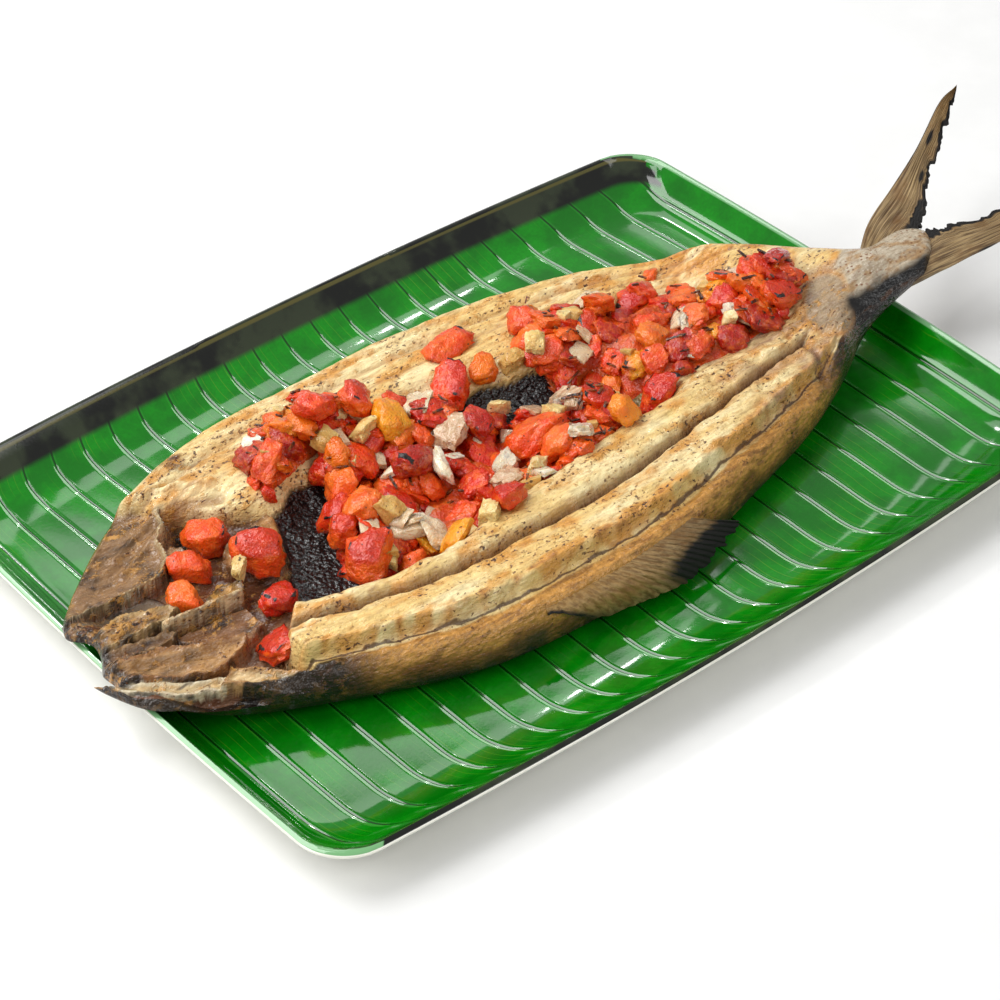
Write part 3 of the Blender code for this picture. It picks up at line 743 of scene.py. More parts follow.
def fleshHeight(x, y, across):
    body = bodyShare(x, y)
    tail = tailOn(x)
    loin = mix(fish["skinTop"], fish["loinTop"], ease(fish["cutAt"], fish["cutAt"] + 0.022, across))
    loin = mix(loin, fish["bandTop"], ease(0.11, fish["grooveAt"], across))
    loin = loin - fish["grooveDepth"] * bump(across - fish["grooveAt"], 0.012) * (1 - tail)
    inner = mix(fish["tailFlesh"], fish["cavityFloor"], cavityOn(x))
    far = fish["farFlesh"] - 0.0018 * bump(across - fish["farGrooveAt"], 0.012)
    flank = mix(loin, inner, ease(bandEnd(x), bandEnd(x) + 0.085, across))
    flank = mix(flank, far, ease(cavityFar(x) - 0.09, cavityFar(x) + 0.03, across))
    flank = mix(flank, stemTop(x), tail)
    return mix(platesAt(x, y)[0], flank, body)


def fleshDetail(x, y, across):
    # flakes, streaks along the flesh, lumps towards the tail and folds on the head
    body = bodyShare(x, y)
    stem = ease(fish["stemFrom"], 0.135, x)
    cavity = cavityOn(x) * ease(bandEnd(x) + 0.03, bandEnd(x) + 0.08, across)
    cavity = cavity * (1 - ease(cavityFar(x) - 0.07, cavityFar(x) - 0.01, across))
    streaks = 0.00062 * roughNoise(3, 3, x / 0.015, across / 0.02)
    streaks += 0.0004 * roughNoise(8, 3, x / 0.005, across / 0.013)
    lumps = roughNoise(14, 3, x / 0.0085, y / 0.005)
    lumpy = ease(0.03, 0.085, x) * (1 - stem) * (1 - ease(0.34, 0.46, across))
    ridge = bump(across - 0.078, 0.013) * body * (1 - stem)
    edgeOfBand = bump(across - bandEnd(x) + 0.012, 0.015) * body * (1 - stem)
    detail = streaks * body * (1 - cavity) * (1 - stem)
    detail += 0.0015 * lumpy * lumps
    detail += 0.0009 * ridge * roughNoise(21, 3, x / 0.0045, across / 0.02)
    detail += 0.0007 * edgeOfBand * roughNoise(25, 2, x / 0.006, across / 0.03)
    lines = bump(across - fish["farLineAt"], 0.004) * 0.0006 + bump(across - 0.945, 0.004) * 0.0007
    detail -= lines * body * (1 - stem) * (0.7 + 0.5 * softNoise(30, x / 0.01, x * 0))
    detail += 0.0009 * cavity * roughNoise(34, 3, x / 0.009, y / 0.006)
    # the flesh stands in clods where the loin breaks off behind the head
    broken = bump(x + 0.1, 0.016) * ease(0.42, 0.3, across) * body
    detail += 0.0013 * broken * roughNoise(37, 3, x / 0.006, y / 0.0045)
    detail -= 0.0016 * creaseOn(x, y)
    crinkle = roughNoise(41, 3, x / 0.005, y / 0.0018)
    return detail + (1 - body) * 0.0005 * crinkle + foldsHeight(x, y)


def fleshJag(x):
    # the cut lines wander a little along the fish
    return 0.0035 * softNoise(51, x / 0.006, x * 0) + 0.002 * softNoise(52, x / 0.0022, x * 0)


def rounding(distance, radius):
    share = np.clip(distance / radius, 0, 1)
    return np.sqrt(1 - (1 - share) ** 2)


def fishStation(along, across):
    front = fish["snout"] + snoutSetback(across)
    back = fish["fork"] - fish["forkRound"] * np.abs(2 * across - 1) ** 1.6
    x = mix(front, back, along)
    near, far = nearEdge(x), farEdge(x)
    width = far - near
    y = near + width * across
    side = width * np.minimum(across, 1 - across)
    end = np.minimum(x - front, back - x)
    stem = ease(fish["stemFrom"], 0.15, x)
    upper = rounding(side, mix(0.0052, width / 2, stem)) * rounding(end, 0.005)
    lower = rounding(side, mix(0.0125, width / 2, stem)) * rounding(end, 0.006)
    level = edgeLevel(x)
    floor = np.maximum(undersideLevel(x), fish["underside"])
    inner = across + fleshJag(x) * ease(0.02, 0.05, across) * (1 - ease(0.94, 0.97, across))
    crest = np.maximum(fleshHeight(x, y, inner) + fleshDetail(x, y, inner), floor + fish["thinnest"])
    top = level + (crest - level) * upper
    bottom = level - (level - floor) * lower
    return x, y, top, bottom


def skinAndShadeTone(x, depth):
    # golden brown just below the cut, then darker, then black low down, partly char and partly painted
    # shade under the fish; depth is 0 at the cut and 1 low down
    patch = roughNoise(61, 3, x / 0.012, depth * 3)
    golden, brown, black = tone(212, 154, 74), tone(128, 80, 32), tone(12, 9, 7)
    colour = blendTone(golden, brown, ease(0.2, 0.52, depth + 0.24 * patch))
    colour = blendTone(colour, black, ease(0.48, 0.68, depth + 0.2 * patch))
    charred = ease(-0.088, -0.106, x) + ease(0.088, 0.112, x)
    return blendTone(colour, black, np.clip(charred, 0, 1) * 0.97)


def headTone(x, y, patchy, small, long):
    # browned membranes and bones, each plate in its own tones, sooty in places, with painted shade in
    # the deepest hollows
    _, which, depth = platesAt(x, y)
    meat = blendTone(tone(104, 66, 44), tone(158, 122, 92), ease(-0.3, 0.5, long))
    for k, plate in enumerate(headPlates):
        on = which == k
        base = tone(*plate["tone"])
        own = blendTone(base, base * 0.5, ease(-0.05, 0.65, patchy[on]))
        own = blendTone(own, base * 1.25, ease(0.1, -0.5, patchy[on] + 0.4 * small[on]) * 0.6)
        meat[on] = blendTone(own, tone(*plate["rimTone"]), ease(0.0024, 0.001, depth[on]) * 0.8)
    soot = ease(0.2, 0.62, 0.6 * small + 0.5 * patchy + 0.25 * long)
    meat = blendTone(meat, tone(44, 28, 20), soot * 0.85)
    outermost = (which >= 0) * ease(0.0009, 0.0003, depth) * ease(-0.45, 0.15, small)
    meat = blendTone(meat, tone(30, 20, 14), outermost * 0.85)
    # near-black in the deepest hollows is painted shade
    deep = ease(-0.0016, -0.0042, foldsHeight(x, y)) * ease(-0.094, -0.1, x)
    return blendTone(meat, tone(16, 10, 8), deep)


def paintFish(piece, x, y, z, across, low):
    # colour, then how wet, speckled and scaly each place is
    inner = across + fleshJag(x)
    body = bodyShare(x + 0.0015 * softNoise(70, y / 0.004, x / 0.004), y, 0.0012)
    long = roughNoise(71, 3, x / 0.024, y / 0.0065)
    patchy = roughNoise(75, 3, x / 0.008, y / 0.0036)
    small = roughNoise(79, 2, x / 0.003, y / 0.0018)
    cream, pale = tone(238, 204, 130), tone(248, 230, 174)
    golden, brown, char = tone(220, 154, 64), tone(142, 84, 34), tone(30, 22, 18)
    colour = blendTone(cream, pale, ease(-0.25, 0.45, long))
    baked = 0.4 + 0.9 * bump(inner - 0.085, 0.02) + 0.6 * bump(inner - 0.165, 0.02)
    baked = baked + 0.6 * bump(inner - 0.86, 0.05) + 0.5 * bump(inner - 0.955, 0.02)
    baked = baked + 0.35 * ease(0.05, 0.11, x)
    baked = baked + 0.5 * bump(inner - bandEnd(x) + 0.02, 0.02)
    crusty = ease(0.26, 0.9, baked * (0.55 + 0.85 * patchy) + 0.25 * small)
    colour = blendTone(colour, golden, crusty * 0.9)
    colour = blendTone(colour, brown, ease(0.62, 1.05, baked * (0.35 + 0.9 * small)) * 0.6)
    # greyer, wetter flesh towards the tail
    greyer = ease(0.045, 0.1, x) * (1 - ease(0.42, 0.6, inner))
    colour = stained(
        colour, ((188, 160, 130), greyer * ease(-0.3, 0.4, -long) * 0.85),
        ((132, 100, 82), greyer * ease(0.25, 0.75, -patchy) * 0.6),
    )
    # the grooves and cuts are purplish brown
    tail = tailOn(x)
    groove = bump(inner - fish["grooveAt"] - 0.003, 0.011) * body * (1 - tail)
    lines = bump(inner - fish["farGrooveAt"], 0.006) + bump(inner - fish["farLineAt"], 0.0035)
    colour = stained(
        colour, ((112, 74, 58), np.clip(groove * 1.4, 0, 1) * 0.9),
        ((176, 132, 88), np.clip(lines, 0, 1) * body * 0.65), ((104, 66, 52), creaseOn(x, y) * 0.8),
    )
    # black lining of the belly
    lining = body * cavityOn(x) * ease(bandEnd(x) + 0.028, bandEnd(x) + 0.045, inner)
    edge = cavityFar(x) - 0.03 + 0.01 * softNoise(83, x / 0.008, x * 0)
    lining = lining * (1 - ease(edge - 0.004, edge + 0.004, inner))
    bruise = bump(np.hypot(x + 0.085, y - 0.06), 0.007) * ease(-0.3, 0.4, patchy)
    # the hollows behind the head are browner: painted shade
    hollow = ease(-0.0008, -0.0028, foldsHeight(x, y)) * body
    colour = stained(
        colour, ((24, 23, 24), lining), ((86, 54, 32), bruise), ((150, 104, 62), hollow * 0.8)
    )
    head = 1 - body
    colour = blendTone(colour, headTone(x, y, patchy, small, long), head)
    # skin: the side below the cut, the outer side of the head and the tail's stem
    sideDepth = np.clip((fish["skinTop"] - z) / 0.0165, 0, 1)
    nearSkin = ease(fish["cutAt"] - 0.004, fish["cutAt"] - 0.012, inner)
    colour = blendTone(colour, skinAndShadeTone(x, sideDepth), nearSkin * (1 - low))
    farSkin = blendTone(tone(160, 112, 56), tone(64, 42, 24), ease(-0.2, 0.6, patchy))
    colour = blendTone(colour, farSkin, ease(0.978, 0.99, across))
    snout = ease(0.005, 0.002, x - fish["snout"] - snoutSetback(across))
    colour = blendTone(colour, char, snout * 0.9)
    stemLine = 0.115 + (y + 0.043) * 0.69 + 0.0025 * softNoise(90, y / 0.005, x * 0)
    stem = ease(stemLine - 0.002, stemLine + 0.002, x)
    silver = blendTone(tone(196, 182, 158), tone(170, 128, 74), ease(-0.1, 0.6, small) * 0.75)
    silver = blendTone(silver, tone(112, 92, 66), ease(0.0, 0.7, long) * 0.6)
    blackSide = ease(0.24, 0.11, across + 0.05 * patchy) * ease(0.105, 0.125, x)
    colour = blendTone(colour, silver, stem)
    colour = blendTone(colour, tone(18, 17, 17), np.clip(blackSide, 0, 1) * ease(0.1, 0.125, x))
    # the smooth oval where the stem's skin ends
    fromOval = np.hypot((x - 0.1225 - (y + 0.021) * 0.45) / 0.0095, (y + 0.021) / 0.0125)
    ovalTone = blendTone(tone(166, 144, 114), tone(112, 92, 88), ease(0.0, 0.5, long))
    colour = blendTone(colour, ovalTone, ease(1.15, 0.85, fromOval) * (1 - stem) * 0.9)
    colour = blendTone(colour, tone(196, 142, 80), bump(fromOval - 1.05, 0.1) * (1 - stem) * 0.8)
    # the underside takes the same tone, black low down, partly char and partly painted shade where it
    # lies against the tray
    colour = blendTone(colour, skinAndShadeTone(x, sideDepth), low)
    keepTone(piece, "fishTone", colour)
    wet = np.clip(lining + 0.75 * head + 0.65 * greyer + 0.8 * groove + 0.45 * stem + 0.25, 0, 1)
    keepValue(piece, "wet", wet * (1 - low))
    speckle = (0.35 + 0.9 * ease(-0.1, 0.6, patchy)) * (1 - lining)
    speckle = speckle * (1 - stem) * (1 - low) * (1 - 0.7 * nearSkin)
    keepValue(piece, "speckle", np.clip(speckle * (1 - 0.45 * groove), 0, 1))
    keepValue(piece, "scaly", np.clip(nearSkin * (1 - head) + low, 0, 1))
    keepValue(piece, "stemScales", stem * (1 - np.clip(blackSide, 0, 1)))
    keepValue(piece, "lining", lining)
    keepValue(piece, "groove", np.clip(groove, 0, 1))
    keepValue(piece, "cutLine", body * (1 - tail) * (1 - low))


def crowded(share, amount):
    # shares that stand closer together towards both ends
    return share - amount * np.sin(2 * math.pi * share) / (2 * math.pi)


def makeFishBody():
    piece = addGrid("fishBody", fish["columns"], fish["rows"])
    along, across = gridShares(piece)
    along = crowded(along, fish["crowdAlong"])
    across = crowded(across, fish["crowdAcross"])
    keepValue(piece, "along", along)
    keepValue(piece, "across", across)
    keepValue(piece, "low", np.zeros(len(along)))
    x, y, top, bottom = fishStation(along, across)
    movePoints(piece, np.stack([x, y, top], 1))
    # the underside, in rings that close on the middle line
    for ring in fish["rings"]:
        grown = growBorder(piece)
        places = pointsOf(piece)
        inset = ring * 0.5
        along = np.clip(valuesOf(piece, "along")[grown], inset * 0.6, 1 - inset * 0.6)
        across = np.clip(valuesOf(piece, "across")[grown], ring, 1 - ring)
        x, y, top, bottom = fishStation(along, across)
        places[grown] = np.stack([x, y, bottom], 1)
        movePoints(piece, places)
        low = valuesOf(piece, "low")
        low[grown] = 1
        keepValue(piece, "low", low)
    tidyMesh(piece, 2e-6)
    paintFish(piece, *pointsOf(piece).T, valuesOf(piece, "across"), valuesOf(piece, "low"))
    return piece


def fishFinish():
    material, tree, shader = newMaterial("grilledFlesh")
    paint = readValue(tree, "fishTone", "Color")
    names = ("wet", "speckle", "scaly", "stemScales", "lining", "groove")
    wet, speckle, scaly, stemScales, lining, groove = (readValue(tree, name) for name in names)
    place = objectPlace(tree)
    fibre = noiseOn(tree, objectPlace(tree, (0.28, 1, 1)), 900, 3)
    grain = noiseOn(tree, place, 1500, 1)
    fibrous = spread(tree, fibre, 0.38, 0.72, 0.0, 0.38)
    colour = mixTones(tree, fibrous, paint, tone(150, 105, 60), "MULTIPLY")
    # golden crust in clusters, and dark specks that gather in them
    cluster = noiseOn(tree, objectPlace(tree, (0.4, 1, 1), 0.06), 120, 3)
    crustNoise = noiseOn(tree, objectPlace(tree, (0.7, 1, 1)), 430, 3, 0.65)
    crust = spread(tree, timesPlus(tree, cluster, 0.7, crustNoise), 0.86, 1.0)
    crust = times(tree, crust, speckle)
    colour = stain(tree, colour, crust, 0.8, 206, 148, 66)
    dots = noiseOn(tree, objectPlace(tree, (0.75, 1, 1)), 850, 2, 0.5)
    gathered = timesPlus(tree, cluster, 0.5, dots)
    speckled = spread(tree, speckle, 0.1, 0.45)
    dark = times(tree, spread(tree, gathered, 0.885, 0.925), speckled)
    colour = stain(tree, colour, dark, 0.8, 112, 62, 22)
    sooty = times(tree, spread(tree, gathered, 0.955, 0.985), speckled)
    colour = stain(tree, colour, sooty, 0.9, 34, 22, 16)
    # fine upright fibres on the groove's wall
    upright = noiseOn(tree, objectPlace(tree, (1, 0.12, 0.12)), 1300, 3)
    combed = times(tree, spread(tree, upright, 0.4, 0.62), groove)
    colour = stain(tree, colour, combed, 0.6, 196, 164, 136)
    # the knife's cut shows as a thin dark double line
    waver = timesPlus(tree, noiseOn(tree, place, 150, 3), 0.016, readValue(tree, "across"))
    offCut = sums(tree, "ABSOLUTE", sums(tree, "SUBTRACT", waver, fish["cutAt"] + 0.0085))
    cut = times(tree, spread(tree, offCut, 0.0042, 0.0016), readValue(tree, "cutLine"))
    colour = stain(tree, colour, cut, 0.85, 70, 40, 26)
    # scales
    scales = cellsOn(tree, objectPlace(tree, (0.75, 1, 1)), 620, "F1", "Distance", 0.45)
    scaleShade = times(tree, spread(tree, scales, 0.25, 0.75), scaly)
    colour = stain(tree, colour, scaleShade, 0.2, 64, 40, 18)
    streak = noiseOn(tree, objectPlace(tree, (0.3, 1, 0.6), 0.25), 420, 3, 0.65)
    streaked = times(tree, spread(tree, streak, 0.5, 0.66), scaly)
    colour = stain(tree, colour, streaked, 0.55, 92, 52, 20)
    stemCells = cellsOn(tree, objectPlace(tree, (0.8, 1, 1), 0.5), 640, "F1", "Distance", 0.3)
    dotsOn = times(tree, spread(tree, stemCells, 0.36, 0.16), stemScales)
    dotsOn = times(tree, dotsOn, spread(tree, cluster, 0.4, 0.58))
    colour = stain(tree, colour, dotsOn, 0.9, 112, 64, 26)
    rough = spread(tree, wet, 0.0, 1.0, 0.46, 0.13)
    rough = timesPlus(tree, spread(tree, grain, 0.3, 0.7), 0.14, rough)
    rough = timesPlus(tree, crust, 0.14, rough)
    relief = timesPlus(tree, fibre, 0.7, times(tree, grain, 0.35))
    relief = timesPlus(tree, crust, 0.5, relief)
    flakes = noiseOn(tree, objectPlace(tree, (0.55, 1, 1), 0.1), 300, 2, 0.6)
    normal = bumpFrom(tree, flakes, 0.55, 0.0016)
    normal = bumpFrom(tree, relief, 0.75, 0.0008, normal)
    normal = bumpFrom(tree, combed, 0.6, 0.0004, normal)
    leathery = cellsOn(tree, place, 760, "SMOOTH_F1")
    leathery = timesPlus(tree, noiseOn(tree, place, 330, 3), 1.4, leathery)
    normal = bumpFrom(tree, times(tree, leathery, lining), 0.85, -0.0012, normal)
    scalyAll = sums(tree, "MAXIMUM", scaly, stemScales)
    normal = bumpFrom(tree, times(tree, scales, scalyAll), 0.4, -0.0006, normal)
    feed(tree, shader, {
        "Base Color": colour, "Roughness": rough, "Normal": normal, "Coat Normal": normal, "IOR": 1.42,
        "Coat Weight": 0.55, "Coat Roughness": 0.07,
    })
    return material


# Tail fin

tailFin = {
    "origin": (0.15, -0.014, 0.027), "rise": (0.181, 0.08), "steps": 150, "rays": 46,
    "rootThickness": 0.004, "tipThickness": 0.0014,
}
lobes = {
    "upper": (
        [
            (0.15, -0.0075), (0.1626, 0.0005), (0.1793, 0.0067), (0.1986, 0.014), (0.2207, 0.0245),
            (0.233, 0.0269),
        ],
        [
            (0.15, -0.017), (0.164, -0.015), (0.176, -0.0125), (0.1967, 0.0035), (0.2172, 0.0155),
            (0.2322, 0.0262),
        ],
    ),
    "lower": (
        [
            (0.15, -0.029), (0.1617, -0.0312), (0.1738, -0.0341), (0.1881, -0.0367), (0.215, -0.041),
            (0.241, -0.043),
        ],
        [
            (0.15, -0.017), (0.164, -0.0155), (0.176, -0.016), (0.1881, -0.0222), (0.214, -0.03),
            (0.2408, -0.0423),
        ],
    ),
}


def finLevel(x, y):
    originX, originY, level = tailFin["origin"]
    riseX, riseY = tailFin["rise"]
    return level + riseX * (x - originX) + riseY * (y - originY)


def makeTailFin():
    parts = []
    for seed, (name, (outer, inner)) in zip((101, 131), lobes.items()):
        piece = addGrid(name + "Lobe", tailFin["steps"], tailFin["rays"])
        along, across = gridShares(piece)
        last = len(outer) - 1
        edges = [
            curveThrough([(i / last, point[k]) for i, point in enumerate(edge)])
            for edge in (outer, inner)
            for k in (0, 1)
        ]
        outerX, outerY, innerX, innerY = (edge(along) for edge in edges)
        width = np.hypot(outerX - innerX, outerY - innerY) + 1e-6
        ragged = 0.0021 * roughNoise(seed, 3, along * 22, along * 0)
        ragged = ragged + 0.0008 * softNoise(seed + 5, along * 90, along * 0) + 0.0008
        ragged = np.clip(ragged, -0.0004, 0.004) * ease(0.22, 0.34, along)
        ragged = ragged * (1 - ease(0.86, 0.99, along))
        reach = across * (1 - ragged / width * ease(0.3, 1.0, across))
        x = mix(outerX, innerX, reach)
        y = mix(outerY, innerY, reach)
        ray = np.cos(across * math.pi * 22 + 2.0 * softNoise(seed + 9, along * 3, across * 6))
        z = finLevel(x, y) + 0.00016 * ray + 0.0005 * softNoise(seed + 12, along * 7, across * 3)
        thick = mix(tailFin["rootThickness"], tailFin["tipThickness"], np.clip(1.6 * along, 0, 1))
        thick = thick * (0.3 + 0.7 * np.sqrt(np.clip(4 * across * (1 - across), 0, 1)))
        char = ease(0.7, 0.92, across + 0.16 * roughNoise(seed + 20, 2, along * 18, across * 4))
        char = char * ease(0.2, 0.34, along)
        wander = 0.1 * softNoise(seed + 30, along * 30, along * 0)
        outerChar = ease(0.07, 0.01, across) * ease(0.35, 0.65, along + wander)
        char = np.maximum(char, outerChar * 0.85)
        if name == "upper":
            spots = bump(np.hypot((along - 0.68) * 4.0, (across - 0.38) * 1.1), 0.14)
            spots = spots + bump(np.hypot((along - 0.54) * 4.0, (across - 0.66) * 1.1), 0.11)
            char = np.maximum(char, np.clip(spots * 1.3, 0, 1) * 0.85)
        keepValue(piece, "finAlong", along)
        keepValue(piece, "finAcross", across)
        keepValue(piece, "char", char)
        keepValue(piece, "golden", 0.25 * ease(0.55, 0.95, along))
        movePoints(piece, np.stack([x, y, z + thick / 2], 1))
        # the lower face is the same sheet turned over, joined along the border
        under = copyOf(piece)
        places = pointsOf(under)
        places[:, 2] -= thick
        movePoints(under, places)
        editOn(under)
        bpy.ops.mesh.select_all(action="SELECT")
        bpy.ops.mesh.flip_normals()
        editOff()
        blade = joinAll(name + "Lobe", [piece, under])
        borderOn(blade)
        bpy.ops.mesh.bridge_edge_loops()
        editOff()
        tidyMesh(blade)
        parts.append(blade)
    return joinAll("tailFin", parts)


def finFinish():
    material, tree, shader = newMaterial("grilledFin")
    names = ("finAlong", "finAcross", "char", "golden")
    along, across, char, golden = (readValue(tree, name) for name in names)
    stretched = addNode(
        tree, "ShaderNodeCombineXYZ",
        {"X": times(tree, along, 5.0), "Y": times(tree, across, 34.0), "Z": 0.0},
    ).outputs["Vector"]
    rays = noiseOn(tree, stretched, 1.0, 3)
    place = objectPlace(tree)
    patch = noiseOn(tree, place, 110, 3)
    grain = noiseOn(tree, place, 1300, 2)
    colour = mixTones(tree, spread(tree, rays, 0.35, 0.65), tone(84, 62, 38), tone(168, 142, 100))
    colour = mixTones(tree, spread(tree, patch, 0.45, 0.75, 0.0, 0.75), colour, tone(112, 76, 36))
    colour = mixTones(tree, golden, colour, mixTones(tree, rays, tone(120, 80, 34), tone(206, 162, 92)))
    burnt = spread(tree, timesPlus(tree, sums(tree, "SUBTRACT", rays, 0.5), 0.7, char), 0.3, 0.75)
    colour = mixTones(tree, burnt, colour, tone(20, 17, 16))
    rough = spread(tree, char, 0.0, 1.0, 0.42, 0.7)
    normal = bumpFrom(tree, grain, 0.35, 0.0004, bumpFrom(tree, rays, 0.8, 0.0006))
    feed(tree, shader, {"Base Color": colour, "Roughness": rough, "Normal": normal, "IOR": 1.45})
    return material


# Dorsal fin: a fan that hangs over the near side and lies on the tray

dorsalFin = {
    "rootStart": -0.042, "rootEnd": 0.017, "rootIn": 0.0052, "rootLevel": 0.0196, "steps": 130,
    "rays": 30, "thickness": 0.0008,
}
dorsalTips = [
    (0.0, -0.042, -0.0694, 0.0075), (0.25, -0.016, -0.0722, 0.0068), (0.5, 0.008, -0.0758, 0.0066),
    (0.75, 0.026, -0.074, 0.0074), (1.0, 0.0405, -0.069, 0.0092),
]


def makeDorsalFin():
    piece = addGrid("dorsalFin", dorsalFin["steps"], dorsalFin["rays"])
    share, out = gridShares(piece)
    tips = [curveThrough([(row[0], row[k]) for row in dorsalTips])(share) for k in (1, 2, 3)]
    rootX = mix(dorsalFin["rootStart"], dorsalFin["rootEnd"], share)
    rootY = nearEdge(rootX) + dorsalFin["rootIn"]
    ragged = 1 - ease(0.42, 0.8, share) * (0.1 + 0.12 * roughNoise(212, 2, share * 30, share * 0))
    ragged = ragged - 0.05 * (0.5 + 0.5 * softNoise(215, share * 60, share * 0))
    reach = out * ragged * mix(0.3, 1.0, ease(0.0, 0.22, share))
    middleX = mix(rootX, tips[0], 0.45)
    middleY = nearEdge(middleX) - 0.0042
    bend = 2 * reach * (1 - reach)
    x = (1 - reach) ** 2 * rootX + bend * middleX + reach ** 2 * tips[0]
    y = (1 - reach) ** 2 * rootY + bend * middleY + reach ** 2 * tips[1]
    z = (1 - reach) ** 2 * dorsalFin["rootLevel"] + bend * 0.0175 + reach ** 2 * tips[2]
    y = y - 0.00022 * np.cos(share * math.pi * 2 * 24) * ease(0, 0.2, out)
    keepValue(piece, "finAlong", out * 1.2)
    keepValue(piece, "finAcross", share * 1.3)
    char = ease(0.45, 0.9, out) * ease(0.35, 0.7, share)
    char = char + 0.8 * ease(0.1, 0.0, out) * ease(0.02, 0.1, share)
    char = char + 0.65 * ease(0.55, 1.0, out) * ease(0.4, 0.0, share)
    keepValue(piece, "char", np.clip(char + 0.16 + 0.28 * ease(0.2, 1, share), 0, 1))
    keepValue(piece, "golden", 0.2 + 0.4 * ease(0.75, 0.2, share) * ease(1.0, 0.6, out))
    movePoints(piece, np.stack([x, y, z], 1))
    useModifier(piece, "SOLIDIFY", thickness=dorsalFin["thickness"], offset=0.0)
    tidyMesh(piece)
    return piece


# Salsa: every kind of piece is cut from one cube, and laid on the fish from below upwards

heapLines = {
    "tail": [
        (0.036, 0.034, 0.01, 0.005), (0.052, 0.022, 0.02, 0.007), (0.07, 0.012, 0.024, 0.007),
        (0.09, 0.004, 0.019, 0.005), (0.107, 0.0, 0.013, 0.003), (0.122, -0.002, 0.006, 0.0012),
    ],
    "middle": [
        (-0.068, -0.008, 0.009, 0.006), (-0.054, -0.003, 0.02, 0.009), (-0.036, -0.001, 0.025, 0.01),
        (-0.018, -0.001, 0.025, 0.01), (-0.002, -0.003, 0.022, 0.01), (0.014, -0.006, 0.019, 0.01),
        (0.028, -0.008, 0.014, 0.009), (0.038, -0.009, 0.008, 0.006),
    ],
    "between": [
        (-0.052, 0.028, 0.006, 0.008), (-0.036, 0.03, 0.009, 0.012), (-0.018, 0.028, 0.01, 0.012),
        (-0.004, 0.022, 0.007, 0.009),
    ],
    "side": [
        (-0.074, 0.035, 0.007, 0.0035), (-0.06, 0.042, 0.01, 0.006), (-0.045, 0.046, 0.01, 0.0065),
        (-0.03, 0.045, 0.007, 0.0045),
    ],
}
# For each heap: large dice, small dice, pale pieces, and how far they pile up on its pulp
heapFill = {
    "tail": (52, 44, 24, 0.0026), "middle": (64, 50, 40, 0.008), "between": (16, 12, 8, 0.006),
    "side": (15, 14, 6, 0.0022),
}
salsa = {
    "seed": 11, "slope": 0.35, "keyLift": 0.0062, "anyTurn": 3.1,
    "red": [(232, 66, 12), (238, 88, 18), (214, 40, 10), (242, 108, 30), (228, 76, 18), (178, 26, 8)],
    "orange": [(242, 142, 24), (236, 118, 20), (240, 164, 34)],
    "garlic": [(232, 206, 138), (222, 184, 108), (238, 218, 162)],
    "onion": [(228, 204, 168), (214, 178, 142), (238, 226, 200)],
    "char": [(30, 20, 16), (44, 26, 18)],
    "garlicShare": 0.45,
}
# The pale pieces: width, then length and height as shares of it, and how round they are
paleSizes = {
    "garlic": ((0.0034, 0.0054), (1.0, 1.3), (0.7, 0.95), 0.18),
    "onion": ((0.0038, 0.0066), (1.1, 1.7), (0.3, 0.5), 0.12),
}
